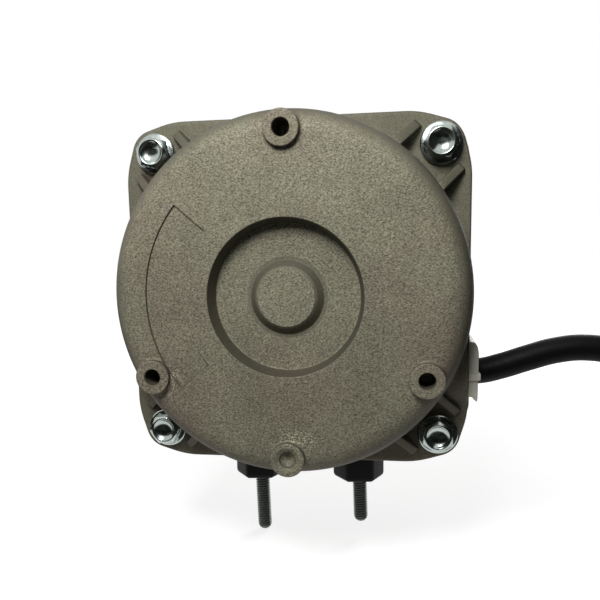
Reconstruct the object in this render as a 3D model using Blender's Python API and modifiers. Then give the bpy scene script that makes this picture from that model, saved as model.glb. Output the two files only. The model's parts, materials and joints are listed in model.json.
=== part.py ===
"""Square shaded pole fan motor: die-cast shell, four-pole stator, squirrel cage rotor, cord and feet.

Units are metres, +Z is up. The shaft runs along Y with the rear cover towards -Y. The origin lies midway
between the two foot studs, in the plane of the foot spacers' lower faces. Lengths called depth are
measured along Y from the rear cover's face.
"""

import math

import bmesh
import bpy
from mathutils import Matrix, Vector

MM = 0.001

# Fits between pieces
SEAT_GAP = 0.3 * MM
RUNNING_GAP = 0.1 * MM
AIR_GAP = 0.4 * MM

# Shell
BODY_WIDTH = 84.0 * MM
DOME_INSET = 0.6 * MM
DOME_WALL = 2.6 * MM
DOME_FILLET = 7.4 * MM
CROWN_DROP = 1.4 * MM
LUG_DEPTH = 16.8 * MM
FLANGE_THICKNESS = 5.2 * MM
SCREW_TO_DOME = 7.53 * MM
LUG_MARGIN = 1.9 * MM
FRONT_LUG_MARGIN = 1.2 * MM
LUG_TAPER = 17.0
RIB_THICKNESS = 1.6 * MM
RIB_HEIGHT = 6.5 * MM
RIB_OFFSET = 7.3 * MM
RIB_TO_SCREW = 1.1 * MM
FRONT_WALL = 3.0 * MM
FRONT_EDGE_ROUND = 2.2 * MM

# Rear recess and bearing hub
RECESS_RADIUS = 17.9 * MM
RECESS_DRAFT = 1.1 * MM
RECESS_DEPTH = 4.0 * MM
HUB_BASE_RADIUS = 8.5 * MM
HUB_TOP_RADIUS = 6.6 * MM
HUB_HEIGHT = 2.0 * MM
HUB_WALL = 3.0 * MM
FRONT_HUB_RADIUS = 12.0 * MM
FRONT_HUB_HEIGHT = 4.0 * MM

# Fixing bosses
REAR_BOSS_INSET = 4.9 * MM
REAR_BOSS_ANGLES = (90.0, 210.0, 270.0, 330.0)
SHORT_HOLE_ANGLE = 270.0
BOSS_DIAMETER = 8.0 * MM
REAR_BOSS_RISE = 0.7 * MM
BOSS_HOLE_DIAMETER = 3.7 * MM
BOSS_HOLE_DEPTH = 8.0 * MM
SHORT_HOLE_DEPTH = 2.6 * MM
BOSS_ROOT = 10.5 * MM
FRONT_BOSS_SPACING = 54.0 * MM
FRONT_BOSS_RISE = 0.8 * MM

# Stator
STACK_INSET = 5.0 * MM
STACK_LENGTH = 20.0 * MM
STACK_CORNER_WALL = 2.4 * MM
YOKE_THICKNESS = 5.7 * MM
YOKE_CORNER_RELIEF = 1.0 * MM
NECK_WIDTH = 12.0 * MM
NECK_SEAT = 2.0 * MM
POLE_SHOE_THICKNESS = 4.0 * MM
POLE_SHOE_HALF_ANGLE = 36.0
BRIDGE_THICKNESS = 1.2 * MM
BOBBIN_WALL = 1.0 * MM
BOBBIN_HALF_WIDTH = 12.0 * MM
COIL_OVERHANG = 7.0 * MM
COIL_INSET = 0.5 * MM
SPIGOT_LENGTH = 3.7 * MM
SPIGOT_WALL = 2.5 * MM
CHAMBER_ROOM = 1.3 * MM
END_ROOM = 6.0 * MM
RING_ANGLE = 31.5
RING_OPENING = 4.0 * MM
RING_WIRE = 1.6 * MM
RING_THICKNESS = 1.2 * MM
RING_INSET = 0.2 * MM

# Rotor and bearings
ROTOR_SHARE = 0.4757
SHAFT_DIAMETER = 6.0 * MM
SHAFT_PROJECTION = 14.0 * MM
SHAFT_FLAT_LENGTH = 10.0 * MM
SHAFT_FLAT_CUT = 0.6 * MM
SHAFT_CHAMFER = 0.5 * MM
SHAFT_END_ROOM = 1.0 * MM
CAGE_RING_LENGTH = 3.0 * MM
CAGE_RING_INSET = 0.6 * MM
CAGE_BARS = 17
CAGE_BAR_DIAMETER = 2.4 * MM
BEARING_DIAMETER = 14.0 * MM
BEARING_LENGTH = 7.0 * MM
BEARING_BARREL = 0.8 * MM
BEARING_TUBE_WALL = 2.5 * MM
BEARING_TUBE_SETBACK = 2.0 * MM
CLIP_RECESS = 1.1 * MM
CLIP_THICKNESS = 0.6 * MM
CLIP_INNER_RADIUS = 4.58 * MM
FELT_LENGTH = 2.0 * MM
WASHER_THICKNESS = 1.0 * MM
WASHER_DIAMETER = 11.0 * MM
TUBE_TO_CAGE = 1.2 * MM

# Cover screws
SCREW_DIAMETER = 4.0 * MM
SCREW_ACROSS_FLATS = 7.0 * MM
SCREW_HEAD_HEIGHT = 4.0 * MM
SCREW_FLANGE_DIAMETER = 9.8 * MM
SCREW_FLANGE_THICKNESS = 1.0 * MM
SCREW_LENGTH = 23.5 * MM
SCREW_CHAMFER_ANGLE = 30.0
SCREW_DISH_DEPTH = 0.9 * MM
SCREW_DISH_RADIUS = 2.6 * MM

# Feet
STUD_DEPTH = 38.5 * MM
STUD_SPACING = 28.4 * MM
STUD_DIAMETER = 4.0 * MM
STUD_ENGAGEMENT = 3.2 * MM
LEFT_STUD_PROJECTION = 17.1 * MM
RIGHT_STUD_PROJECTION = 13.4 * MM
STUD_TIP_ROUND = 1.0 * MM
FOOT_HEIGHT = 11.4 * MM
FOOT_ACROSS_FLATS = 12.7 * MM
FOOT_TURN = 8.0
FOOT_EDGE_ROUND = 0.9 * MM

# Cable entry and earth terminal
PORT_TO_SCREW = 14.9 * MM
PORT_RADIUS = 9.5 * MM
PORT_LENGTH = 10.4 * MM
PORT_SETBACK = 0.2 * MM
GROMMET_BODY_DIAMETER = 12.4 * MM
GROMMET_BODY_LENGTH = 4.0 * MM
GROMMET_FLANGE_SIZE = 15.2 * MM
GROMMET_FLANGE_THICKNESS = 2.1 * MM
GROMMET_CORNER = 3.5 * MM
LEAD_DIAMETER = 2.2 * MM
LEAD_SPREAD = 1.45 * MM
LEAD_BURY = 3.0 * MM
LEAD_STEP = 2.5 * MM
EARTH_BOSS_RADIUS = 3.5 * MM
EARTH_BOSS_DEPTH = 13.0 * MM
EARTH_INSET = 13.1 * MM
EARTH_SCREW_DIAMETER = 3.0 * MM
EARTH_SCREW_LENGTH = 6.0 * MM
EARTH_HEAD_DIAMETER = 5.6 * MM
EARTH_HEAD_HEIGHT = 1.8 * MM
EARTH_TAG_THICKNESS = 0.8 * MM

# Free cord: 0.45 m of sheath and 40 mm of stripped cores
CORD_DIAMETER = 6.4 * MM
CORD_GAP = 0.3 * MM
TIE_THICKNESS = 1.0 * MM
TIE_WIDTH = 3.0 * MM
CORE_LENGTH = 40.0 * MM
CORE_DIAMETER = 2.2 * MM
CORE_SPREAD = 8.0
CORE_TURN_IN = 62.0
CORE_DROOP = 12.0 * MM
COIL_REACH = 90.1 * MM
CORD_SHAPE = (
    (0.0, 0.0), (0.059, 0.028), (0.126, 0.071), (0.199, 0.112), (0.277, 0.127), (0.361, 0.099),
    (0.445, 0.004), (0.517, -0.172), (0.569, -0.386), (0.611, -0.601), (0.669, -0.803), (0.754, -0.940),
    (0.847, -0.985), (0.931, -1.0), (1.0, -1.0),
)
COIL_OUTER_RADIUS = 40.5 * MM
COIL_INNER_RADIUS = 31.3 * MM
COIL_END_ANGLE = 36.0

# Roundness of the facets
FINE_STEPS = 48
SMALL_STEPS = 20
TINY_STEPS = 12

# Derived places
HALF_BODY = BODY_WIDTH / 2
DOME_RADIUS = HALF_BODY - DOME_INSET
AXIS_HEIGHT = HALF_BODY + SEAT_GAP + FOOT_HEIGHT
HALF_SPACING = (DOME_RADIUS + SCREW_TO_DOME) / math.sqrt(2)
LUG_RADIUS = HALF_BODY - HALF_SPACING - LUG_MARGIN
FRONT_LUG_RADIUS = HALF_BODY - HALF_SPACING - FRONT_LUG_MARGIN
RIB_REACH = DOME_RADIUS + SCREW_TO_DOME - RIB_TO_SCREW
PORT_DROP = HALF_SPACING - PORT_TO_SCREW
STACK_WIDTH = BODY_WIDTH - 2 * STACK_INSET
YOKE_CORNER_RADIUS = STACK_WIDTH / 2 - YOKE_CORNER_RELIEF
ROTOR_DIAMETER = ROTOR_SHARE * STACK_WIDTH
EARTH_X = (DOME_RADIUS - EARTH_INSET) / math.sqrt(2)
EARTH_DROP = EARTH_X
PARTING = LUG_DEPTH + FLANGE_THICKNESS
FRONT_START = PARTING + SEAT_GAP
STACK_REAR = PARTING + SPIGOT_LENGTH + SEAT_GAP
STACK_FRONT = STACK_REAR + STACK_LENGTH
STACK_MIDDLE = (STACK_REAR + STACK_FRONT) / 2
FRONT_INSIDE = STACK_FRONT + COIL_OVERHANG + END_ROOM
FRONT_FACE = FRONT_INSIDE + FRONT_WALL
FRONT_HUB_FACE = FRONT_FACE + FRONT_HUB_HEIGHT
SHAFT_END = FRONT_HUB_FACE + SHAFT_PROJECTION
SCREW_HOLE_RADIUS = SCREW_DIAMETER / 2 + SEAT_GAP
STUD_HOLE_RADIUS = STUD_DIAMETER / 2 + SEAT_GAP
YOKE_INSIDE = STACK_WIDTH / 2 - YOKE_THICKNESS
BORE_RADIUS = ROTOR_DIAMETER / 2 + AIR_GAP
SHOE_RADIUS = BORE_RADIUS + POLE_SHOE_THICKNESS
RING_RADIUS = (BORE_RADIUS + BRIDGE_THICKNESS + SHOE_RADIUS) / 2 - RING_INSET
BOBBIN_INNER = SHOE_RADIUS + 1.3 * SEAT_GAP
BOBBIN_OUTER = YOKE_INSIDE - SEAT_GAP
BEARING_BORE = BEARING_DIAMETER / 2 + SEAT_GAP
BEARING_TUBE_RADIUS = BEARING_BORE + BEARING_TUBE_WALL
SHAFT_HOLE_RADIUS = SHAFT_DIAMETER / 2 + RUNNING_GAP
STACK_CORNER = 2 * HALF_SPACING - (SCREW_HOLE_RADIUS + STACK_CORNER_WALL + SEAT_GAP) * math.sqrt(2)
REAR_TUBE_END = STACK_REAR - BEARING_TUBE_SETBACK
FRONT_TUBE_END = STACK_FRONT + BEARING_TUBE_SETBACK
GROMMET_OUTSIDE = HALF_BODY + SEAT_GAP + GROMMET_FLANGE_THICKNESS
COIL_CENTRE_X = GROMMET_OUTSIDE + COIL_REACH
CORD_START = HALF_BODY - GROMMET_BODY_LENGTH + CORD_GAP
FLOOR_LEVEL = -LEFT_STUD_PROJECTION
CORD_REST = FLOOR_LEVEL + CORD_DIAMETER / 2
PORT_Y = PARTING - STUD_DEPTH
PORT_HEIGHT = AXIS_HEIGHT - PORT_DROP
COIL_CENTRE_Y = PORT_Y + COIL_OUTER_RADIUS
CHAMBER_RADIUS = math.hypot(BOBBIN_OUTER, BOBBIN_HALF_WIDTH) + CHAMBER_ROOM

parts = None
cutters = None


def new_collection(name):
    collection = bpy.data.collections.new(name)
    bpy.context.scene.collection.children.link(collection)
    return collection


def make_material(name, colour, roughness, metallic):
    material = bpy.data.materials.new(name)
    material.use_nodes = True
    shader = material.node_tree.nodes["Principled BSDF"]
    shader.inputs["Base Color"].default_value = (*colour, 1.0)
    shader.inputs["Roughness"].default_value = roughness
    shader.inputs["Metallic"].default_value = metallic
    material.diffuse_color = (*colour, 1.0)
    return material


def along_y(x=0.0, depth=0.0, height=0.0):
    """Places a local +Z axis along world +Y, at a depth and a height above the shaft axis."""
    place = Matrix.Translation((x, depth - STUD_DEPTH, AXIS_HEIGHT + height))
    return place @ Matrix.Rotation(-math.pi / 2, 4, "X")


def facing_y(depth=0.0):
    """Places a local XY outline in the XZ plane, centred on the shaft axis."""
    return Matrix.Translation((0.0, depth - STUD_DEPTH, AXIS_HEIGHT)) @ Matrix.Rotation(math.pi / 2, 4, "X")


def link_object(name, mesh, matrix, material, is_cutter):
    obj = bpy.data.objects.new(name, mesh)
    obj.matrix_world = matrix
    (cutters if is_cutter else parts).objects.link(obj)
    if material:
        mesh.materials.append(material)
    if is_cutter:
        obj.hide_render = True
        obj.display_type = "WIRE"
    return obj


def evaluated_mesh(obj):
    bpy.context.view_layer.update()
    graph = bpy.context.evaluated_depsgraph_get()
    return bpy.data.meshes.new_from_object(obj.evaluated_get(graph))


def remove_object(obj):
    data = obj.data
    bpy.data.objects.remove(obj)
    if isinstance(data, bpy.types.Curve):
        bpy.data.curves.remove(data)
    else:
        bpy.data.meshes.remove(data)


def weld(mesh, distance=1e-6):
    form = bmesh.new()
    form.from_mesh(mesh)
    bmesh.ops.remove_doubles(form, verts=form.verts, dist=distance)
    form.to_mesh(mesh)
    form.free()


def signed_area(points):
    total = 0.0
    for (x0, y0), (x1, y1) in zip(points, points[1:] + points[:1]):
        total += x0 * y1 - x1 * y0
    return total / 2


def turned(name, profile, matrix, material=None, closed=False, steps=FINE_STEPS, is_cutter=False):
    """A profile of (radius, height) points turned about the local Z axis."""
    points = list(profile)
    if signed_area(points) > 0:
        points.reverse()
    mesh = bpy.data.meshes.new(name)
    edges = [(i, i + 1) for i in range(len(points) - 1)]
    if closed:
        edges.append((len(points) - 1, 0))
    mesh.from_pydata([(radius, 0.0, height) for radius, height in points], edges, [])
    obj = link_object(name, mesh, matrix, material, is_cutter)
    screw = obj.modifiers.new("Turn", "SCREW")
    screw.axis = "Z"
    screw.angle = math.tau
    screw.steps = steps
    screw.render_steps = steps
    screw.use_merge_vertices = True
    screw.merge_threshold = 1e-5
    return obj


def slab(name, outlines, thickness, matrix, material=None, is_cutter=False):
    """Flat outlines, the first outside and the rest holes, filled and given a thickness."""
    curve = bpy.data.curves.new(name, "CURVE")
    curve.dimensions = "2D"
    curve.fill_mode = "BOTH"
    curve.extrude = thickness / 2
    for outline in outlines:
        spline = curve.splines.new("POLY")
        spline.points.add(len(outline) - 1)
        for point, (x, y) in zip(spline.points, outline):
            point.co = (x, y, 0.0, 1.0)
        spline.use_cyclic_u = True
    flat = bpy.data.objects.new(name + "_outline", curve)
    bpy.context.scene.collection.objects.link(flat)
    mesh = evaluated_mesh(flat)
    remove_object(flat)
    weld(mesh)
    mesh.name = name
    return link_object(name, mesh, matrix, material, is_cutter)


def tube(name, points, diameter, material, resolution=2, is_cutter=False):
    """A round wire through world points, as a mesh with closed ends."""
    curve = bpy.data.curves.new(name, "CURVE")
    curve.dimensions = "3D"
    curve.bevel_depth = diameter / 2
    curve.bevel_resolution = resolution
    curve.use_fill_caps = True
    spline = curve.splines.new("POLY")
    spline.points.add(len(points) - 1)
    for point, place in zip(spline.points, points):
        point.co = (*place, 1.0)
    wire = bpy.data.objects.new(name + "_path", curve)
    bpy.context.scene.collection.objects.link(wire)
    mesh = evaluated_mesh(wire)
    remove_object(wire)
    weld(mesh)
    return link_object(name, mesh, Matrix.Identity(4), material, is_cutter)


def cylinder(form, radius, length, matrix, steps):
    """Adds a cylinder to a bmesh, standing on the matrix's origin along its Z axis."""
    centred = matrix @ Matrix.Translation((0.0, 0.0, length / 2))
    bmesh.ops.create_cone(
        form, cap_ends=True, segments=steps, radius1=radius, radius2=radius, depth=length, matrix=centred
    )


def cylinders(name, items, steps=TINY_STEPS, material=None, is_cutter=True):
    """Separate cylinders in one object, each given as (radius, length, matrix)."""
    form = bmesh.new()
    for radius, length, matrix in items:
        cylinder(form, radius, length, matrix, steps)
    mesh = bpy.data.meshes.new(name)
    form.to_mesh(mesh)
    form.free()
    return link_object(name, mesh, Matrix.Identity(4), material, is_cutter)


def combine(obj, other, operation):
    modifier = obj.modifiers.new(other.name, "BOOLEAN")
    modifier.operation = operation
    modifier.object = other
    modifier.solver = "EXACT"
    return modifier


def soften(obj, width, segments, angle=50.0):
    modifier = obj.modifiers.new("Round edges", "BEVEL")
    modifier.width = width
    modifier.segments = segments
    modifier.limit_method = "ANGLE"
    modifier.angle_limit = math.radians(angle)
    return modifier


def arc(centre, radius, start, end, steps):
    """Points on an arc between two angles in degrees, ends included."""
    cx, cy = centre
    angles = [math.radians(start + (end - start) * i / steps) for i in range(steps + 1)]
    return [(cx + radius * math.cos(a), cy + radius * math.sin(a)) for a in angles]


def turn_point(point, degrees):
    a = math.radians(degrees)
    x, y = point
    return (x * math.cos(a) - y * math.sin(a), x * math.sin(a) + y * math.cos(a))


def four_fold(points):
    """Repeats the points of one quadrant around the centre."""
    return [turn_point(point, quarter * 90.0) for quarter in range(4) for point in points]


def circle(radius, steps=FINE_STEPS):
    return arc((0.0, 0.0), radius, 0.0, 360.0, steps)[:-1]


def screw_places():
    return [(sx * HALF_SPACING, sz * HALF_SPACING) for sx, sz in ((1, 1), (-1, 1), (-1, -1), (1, -1))]


def body_outline(lug_radius):
    """Square with tapered corners that round each cover screw."""
    taper = math.radians(LUG_TAPER)
    reach = HALF_SPACING * (math.cos(taper) + math.sin(taper)) + lug_radius
    side = (reach - HALF_BODY * math.cos(taper)) / math.sin(taper)
    corner = [(HALF_BODY, side)]
    corner += arc((HALF_SPACING, HALF_SPACING), lug_radius, LUG_TAPER, 90.0 - LUG_TAPER, 5)
    corner.append((side, HALF_BODY))
    return four_fold(corner)


def stack_outline(gap=0.0):
    half = STACK_WIDTH / 2 + gap
    corner = STACK_CORNER + gap * math.sqrt(2) - half
    return four_fold([(half, corner), (corner, half)])


def crown_depth(radius):
    """Depth of the rear face, which falls gently from the recess to the fillet."""
    edge = DOME_RADIUS - DOME_FILLET
    return CROWN_DROP * (radius ** 2 - RECESS_RADIUS ** 2) / (edge ** 2 - RECESS_RADIUS ** 2)


def rear_cover_profile():
    edge = DOME_RADIUS - DOME_FILLET
    outer = [(0.0, RECESS_DEPTH - HUB_HEIGHT), (HUB_TOP_RADIUS, RECESS_DEPTH - HUB_HEIGHT)]
    outer += [(HUB_BASE_RADIUS, RECESS_DEPTH), (RECESS_RADIUS - RECESS_DRAFT, RECESS_DEPTH)]
    outer += [(r, crown_depth(r)) for r in (RECESS_RADIUS, (RECESS_RADIUS + edge) / 2)]
    fillet_centre = (edge, CROWN_DROP + DOME_FILLET)
    outer += arc(fillet_centre, DOME_FILLET, -90.0, 0.0, 4)
    flange_middle = LUG_DEPTH + FLANGE_THICKNESS / 2
    outer.append((DOME_RADIUS, flange_middle))
    spigot_outside = STACK_WIDTH / 2
    spigot_inside = spigot_outside - SPIGOT_WALL
    wall_inside = DOME_RADIUS - DOME_WALL
    inner = [(spigot_outside, flange_middle), (spigot_outside, STACK_REAR - SEAT_GAP)]
    inner += [(spigot_inside, STACK_REAR - SEAT_GAP), (spigot_inside, LUG_DEPTH + DOME_WALL / 2)]
    inner.append((wall_inside, LUG_DEPTH - DOME_WALL / 2))
    inner += arc(fillet_centre, DOME_FILLET - DOME_WALL, 0.0, -90.0, 3)
    inner.append((RECESS_RADIUS + DOME_WALL, DOME_WALL + crown_depth(RECESS_RADIUS + DOME_WALL)))
    inner.append((RECESS_RADIUS + DOME_WALL / 2, RECESS_DEPTH + DOME_WALL))
    inner += [(BEARING_TUBE_RADIUS, RECESS_DEPTH + DOME_WALL), (BEARING_TUBE_RADIUS, REAR_TUBE_END)]
    bottom = RECESS_DEPTH - HUB_HEIGHT + HUB_WALL
    inner += [(BEARING_BORE, REAR_TUBE_END), (BEARING_BORE, bottom), (0.0, bottom)]
    return outer + inner


def rib_mesh(name):
    """Two gussets beside each cover screw, running out along the diagonal from the dome."""
    inside = DOME_RADIUS * 0.94
    sink = 0.35 * FLANGE_THICKNESS
    outline = [(inside, -sink), (RIB_REACH, -sink), (RIB_REACH, 0.0), (inside, RIB_HEIGHT)]
    joined = None
    for quarter in range(4):
        for side in (-1, 1):
            direction = Matrix.Rotation(-math.radians(45.0 + 90.0 * quarter), 4, "Y")
            place = Matrix.Translation((0.0, LUG_DEPTH - STUD_DEPTH, AXIS_HEIGHT)) @ direction
            across = Matrix.Translation((0.0, 0.0, side * RIB_OFFSET))
            lying = place @ across @ Matrix(((1, 0, 0, 0), (0, -1, 0, 0), (0, 0, -1, 0), (0, 0, 0, 1)))
            piece = slab(f"{name}_{quarter}_{side}", [outline], RIB_THICKNESS, lying, is_cutter=True)
            form = bmesh.new()
            form.from_mesh(piece.data)
            form.transform(piece.matrix_world)
            if joined is None:
                joined = bpy.data.meshes.new(name)
            else:
                form.from_mesh(joined)
            form.to_mesh(joined)
            form.free()
            remove_object(piece)
    return link_object(name, joined, Matrix.Identity(4), None, True)


def rear_boss_places():
    radius = DOME_RADIUS - REAR_BOSS_INSET
    return [(angle, *turn_point((radius, 0.0), angle)) for angle in REAR_BOSS_ANGLES]


def make_rear_cover(material):
    cover = turned("rear_cover", rear_cover_profile(), along_y(), material)
    hole = circle(STACK_WIDTH / 2 - SPIGOT_WALL / 2)
    flange = slab(
        "rear_flange", [body_outline(LUG_RADIUS), hole], FLANGE_THICKNESS,
        facing_y(LUG_DEPTH + FLANGE_THICKNESS / 2), is_cutter=True
    )
    combine(cover, flange, "UNION")
    combine(cover, rib_mesh("rear_ribs"), "UNION")
    bosses = [
        (BOSS_DIAMETER / 2, REAR_BOSS_RISE + BOSS_ROOT, along_y(x, -REAR_BOSS_RISE, z))
        for _, x, z in rear_boss_places()
    ]
    face = DOME_WALL / 2
    earth_place = along_y(EARTH_X, face + CROWN_DROP / 2, -EARTH_DROP)
    bosses.append((EARTH_BOSS_RADIUS, EARTH_BOSS_DEPTH - face, earth_place))
    combine(cover, cylinders("rear_bosses", bosses, SMALL_STEPS), "UNION")
    low_angle = math.degrees(math.asin(0.6 * FLANGE_THICKNESS / PORT_RADIUS))
    half_disc = arc((0.0, 0.0), PORT_RADIUS, low_angle, 180.0 - low_angle, 12)
    port_x = HALF_BODY - PORT_SETBACK - PORT_LENGTH / 2
    port_matrix = Matrix.Translation((port_x, PORT_Y, PORT_HEIGHT)) @ Matrix(
        ((0, 0, 1, 0), (0, -1, 0, 0), (1, 0, 0, 0), (0, 0, 0, 1))
    )
    port = slab("rear_port", [half_disc], PORT_LENGTH, port_matrix, is_cutter=True)
    combine(cover, port, "UNION")
    holes = []
    for angle, x, z in rear_boss_places():
        depth = SHORT_HOLE_DEPTH if angle == SHORT_HOLE_ANGLE else BOSS_HOLE_DEPTH
        start = REAR_BOSS_RISE + SEAT_GAP
        holes.append((BOSS_HOLE_DIAMETER / 2, depth + SEAT_GAP, along_y(x, -start, z)))
    above_flange = LUG_DEPTH - FLANGE_THICKNESS / 2
    for x, z in screw_places():
        holes.append((SCREW_HOLE_RADIUS, 2 * FLANGE_THICKNESS, along_y(x, above_flange, z)))
    earth_hole = EARTH_SCREW_LENGTH + SEAT_GAP
    earth_top = EARTH_BOSS_DEPTH + CROWN_DROP / 2
    holes.append((
        EARTH_SCREW_DIAMETER / 2 + SEAT_GAP, earth_hole + SEAT_GAP,
        along_y(EARTH_X, earth_top - earth_hole, -EARTH_DROP)
    ))
    combine(cover, cylinders("rear_holes", holes, TINY_STEPS), "DIFFERENCE")
    combine(cover, bpy.data.objects["cable_tunnel"], "DIFFERENCE")
    return cover


def make_cable_tunnel():
    """Round opening through both covers, centred on the parting plane."""
    length = HALF_BODY - STACK_WIDTH / 4
    place = Matrix.Translation((STACK_WIDTH / 4 + SEAT_GAP, PORT_Y, PORT_HEIGHT))
    half_step = Matrix.Rotation(math.pi / SMALL_STEPS, 4, "Z")
    matrix = place @ Matrix.Rotation(math.pi / 2, 4, "Y") @ half_step
    return cylinders("cable_tunnel", [(GROMMET_BODY_DIAMETER / 2 + SEAT_GAP, length, matrix)], SMALL_STEPS)


def make_front_cover(material):
    length = FRONT_FACE - FRONT_START
    middle = facing_y((FRONT_START + FRONT_FACE) / 2)
    cover = slab("front_cover", [body_outline(FRONT_LUG_RADIUS)], length, middle, material)
    form = bmesh.new()
    form.from_mesh(cover.data)
    weight = form.edges.layers.float.new("bevel_weight_edge")
    for edge in form.edges:
        at_front = all(vertex.co.z < -length / 2 + SEAT_GAP for vertex in edge.verts)
        if at_front and edge.calc_face_angle(0.0) > math.radians(60.0):
            edge[weight] = 1.0
    form.to_mesh(cover.data)
    form.free()
    bevel = cover.modifiers.new("Front edge", "BEVEL")
    bevel.limit_method = "WEIGHT"
    bevel.width = FRONT_EDGE_ROUND
    bevel.segments = 3
    start = FRONT_FACE - FRONT_WALL / 2
    raised = [(FRONT_HUB_RADIUS, FRONT_HUB_FACE - start, along_y(0.0, start, 0.0))]
    half = FRONT_BOSS_SPACING / 2
    places = [(sx * half, sz * half) for sx in (-1, 1) for sz in (-1, 1)]
    for x, z in places:
        raised.append((BOSS_DIAMETER / 2, FRONT_FACE + FRONT_BOSS_RISE - start, along_y(x, start, z)))
    combine(cover, cylinders("front_bosses", raised, SMALL_STEPS), "UNION")
    cavity_length = STACK_FRONT + SEAT_GAP - PARTING
    cavity = slab(
        "stack_cavity", [stack_outline(SEAT_GAP)], cavity_length + SEAT_GAP,
        facing_y(PARTING + cavity_length / 2 - SEAT_GAP / 2), is_cutter=True
    )
    combine(cover, cavity, "DIFFERENCE")
    seat = FRONT_TUBE_END + CLIP_RECESS + CLIP_THICKNESS + BEARING_LENGTH + FELT_LENGTH + 3 * SEAT_GAP
    near = STACK_FRONT - SEAT_GAP
    beyond = FRONT_HUB_FACE + SEAT_GAP
    shaft_hole = SHAFT_HOLE_RADIUS + SEAT_GAP
    chamber = [(0.0, near), (CHAMBER_RADIUS, near), (CHAMBER_RADIUS, FRONT_INSIDE)]
    chamber += [(BEARING_TUBE_RADIUS, FRONT_INSIDE), (BEARING_TUBE_RADIUS, FRONT_TUBE_END)]
    chamber += [(BEARING_BORE, FRONT_TUBE_END), (BEARING_BORE, seat)]
    chamber += [(shaft_hole, seat), (shaft_hole, beyond), (0.0, beyond)]
    combine(cover, turned("front_chamber", chamber, along_y(), is_cutter=True), "DIFFERENCE")
    holes = []
    screw_end = LUG_DEPTH - SEAT_GAP + SCREW_LENGTH + SEAT_GAP
    for x, z in screw_places():
        holes.append((SCREW_HOLE_RADIUS, screw_end - PARTING + SEAT_GAP, along_y(x, PARTING - SEAT_GAP, z)))
    for x, z in places:
        end = FRONT_FACE + FRONT_BOSS_RISE + SEAT_GAP
        holes.append((BOSS_HOLE_DIAMETER / 2, BOSS_HOLE_DEPTH, along_y(x, end - BOSS_HOLE_DEPTH, z)))
    combine(cover, cylinders("front_holes", holes, TINY_STEPS), "DIFFERENCE")
    studs = []
    for side in (-1, 1):
        base = AXIS_HEIGHT - HALF_BODY - SEAT_GAP
        place = Matrix.Translation((side * STUD_SPACING / 2, 0.0, base))
        studs.append((STUD_HOLE_RADIUS, STUD_ENGAGEMENT + 2 * SEAT_GAP, place))
    combine(cover, cylinders("stud_holes", studs, TINY_STEPS), "DIFFERENCE")
    combine(cover, bpy.data.objects["cable_tunnel"], "DIFFERENCE")
    return cover


def make_stator_yoke(material):
    """Outer frame of the lamination stack, with a seat for each pole neck."""
    flat = YOKE_INSIDE
    seat = YOKE_INSIDE + NECK_SEAT + SEAT_GAP
    half_seat = NECK_WIDTH / 2 + SEAT_GAP
    meet = math.degrees(math.acos(flat / YOKE_CORNER_RADIUS))
    quadrant = [(seat, half_seat), (flat, half_seat)]
    quadrant += arc((0.0, 0.0), YOKE_CORNER_RADIUS, meet, 90.0 - meet, 5)
    quadrant += [(half_seat, flat), (half_seat, seat)]
    inside = four_fold(quadrant)
    return slab("stator_yoke", [stack_outline(), inside], STACK_LENGTH, facing_y(STACK_MIDDLE), material)


def make_pole_star(material):
    """Inner lamination: four poles joined by thin bridges, with a slot for each shading ring."""
    bridge = BORE_RADIUS + BRIDGE_THICKNESS
    neck = math.degrees(math.asin(NECK_WIDTH / 2 / SHOE_RADIUS))
    end = YOKE_INSIDE + NECK_SEAT
    pole = arc((0.0, 0.0), bridge, -45.0, -POLE_SHOE_HALF_ANGLE, 2)
    pole += arc((0.0, 0.0), SHOE_RADIUS, -POLE_SHOE_HALF_ANGLE, -neck, 4)
    pole += [(end, -NECK_WIDTH / 2), (end, NECK_WIDTH / 2)]
    pole += arc((0.0, 0.0), SHOE_RADIUS, neck, POLE_SHOE_HALF_ANGLE, 4)
    pole += arc((0.0, 0.0), bridge, POLE_SHOE_HALF_ANGLE, 45.0, 2)[:-1]
    outlines = [four_fold(pole), circle(BORE_RADIUS)]
    middle = -(RING_OPENING + RING_WIRE) / 2
    half_across = RING_WIRE / 2 + SEAT_GAP
    half_thick = RING_THICKNESS / 2 + SEAT_GAP
    low = RING_RADIUS - half_thick
    high = RING_RADIUS + half_thick
    slot = [(low, middle - half_across), (high, middle - half_across)]
    slot += [(high, middle + half_across), (low, middle + half_across)]
    for quarter in range(4):
        outlines.append([turn_point(point, RING_ANGLE + 90.0 * quarter) for point in slot])
    return slab("pole_star", outlines, STACK_LENGTH, facing_y(STACK_MIDDLE), material)


def pole_matrix(quarter):
    """Local X points out along a pole, local Y runs along the shaft, Z is tangential."""
    centre = Matrix.Translation((0.0, STACK_MIDDLE - STUD_DEPTH, AXIS_HEIGHT))
    return centre @ Matrix.Rotation(-math.radians(90.0 * quarter), 4, "Y")


def standing(matrix, radius):
    """Turns an outline so that its thickness runs out along the pole at the given radius."""
    return matrix @ Matrix.Translation((radius, 0.0, 0.0)) @ Matrix(
        ((0, 0, 1, 0), (0, 1, 0, 0), (-1, 0, 0, 0), (0, 0, 0, 1))
    )


def rectangle(half_x, half_y):
    return [(-half_x, -half_y), (half_x, -half_y), (half_x, half_y), (-half_x, half_y)]


def rounded_rectangle(half_x, half_y, radius, steps=3):
    corner = []
    for index, (sx, sy) in enumerate(((1, 1), (-1, 1), (-1, -1), (1, -1))):
        centre = (sx * (half_x - radius), sy * (half_y - radius))
        corner += arc(centre, radius, 90.0 * index, 90.0 * index + 90.0, steps)
    return corner


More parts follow.
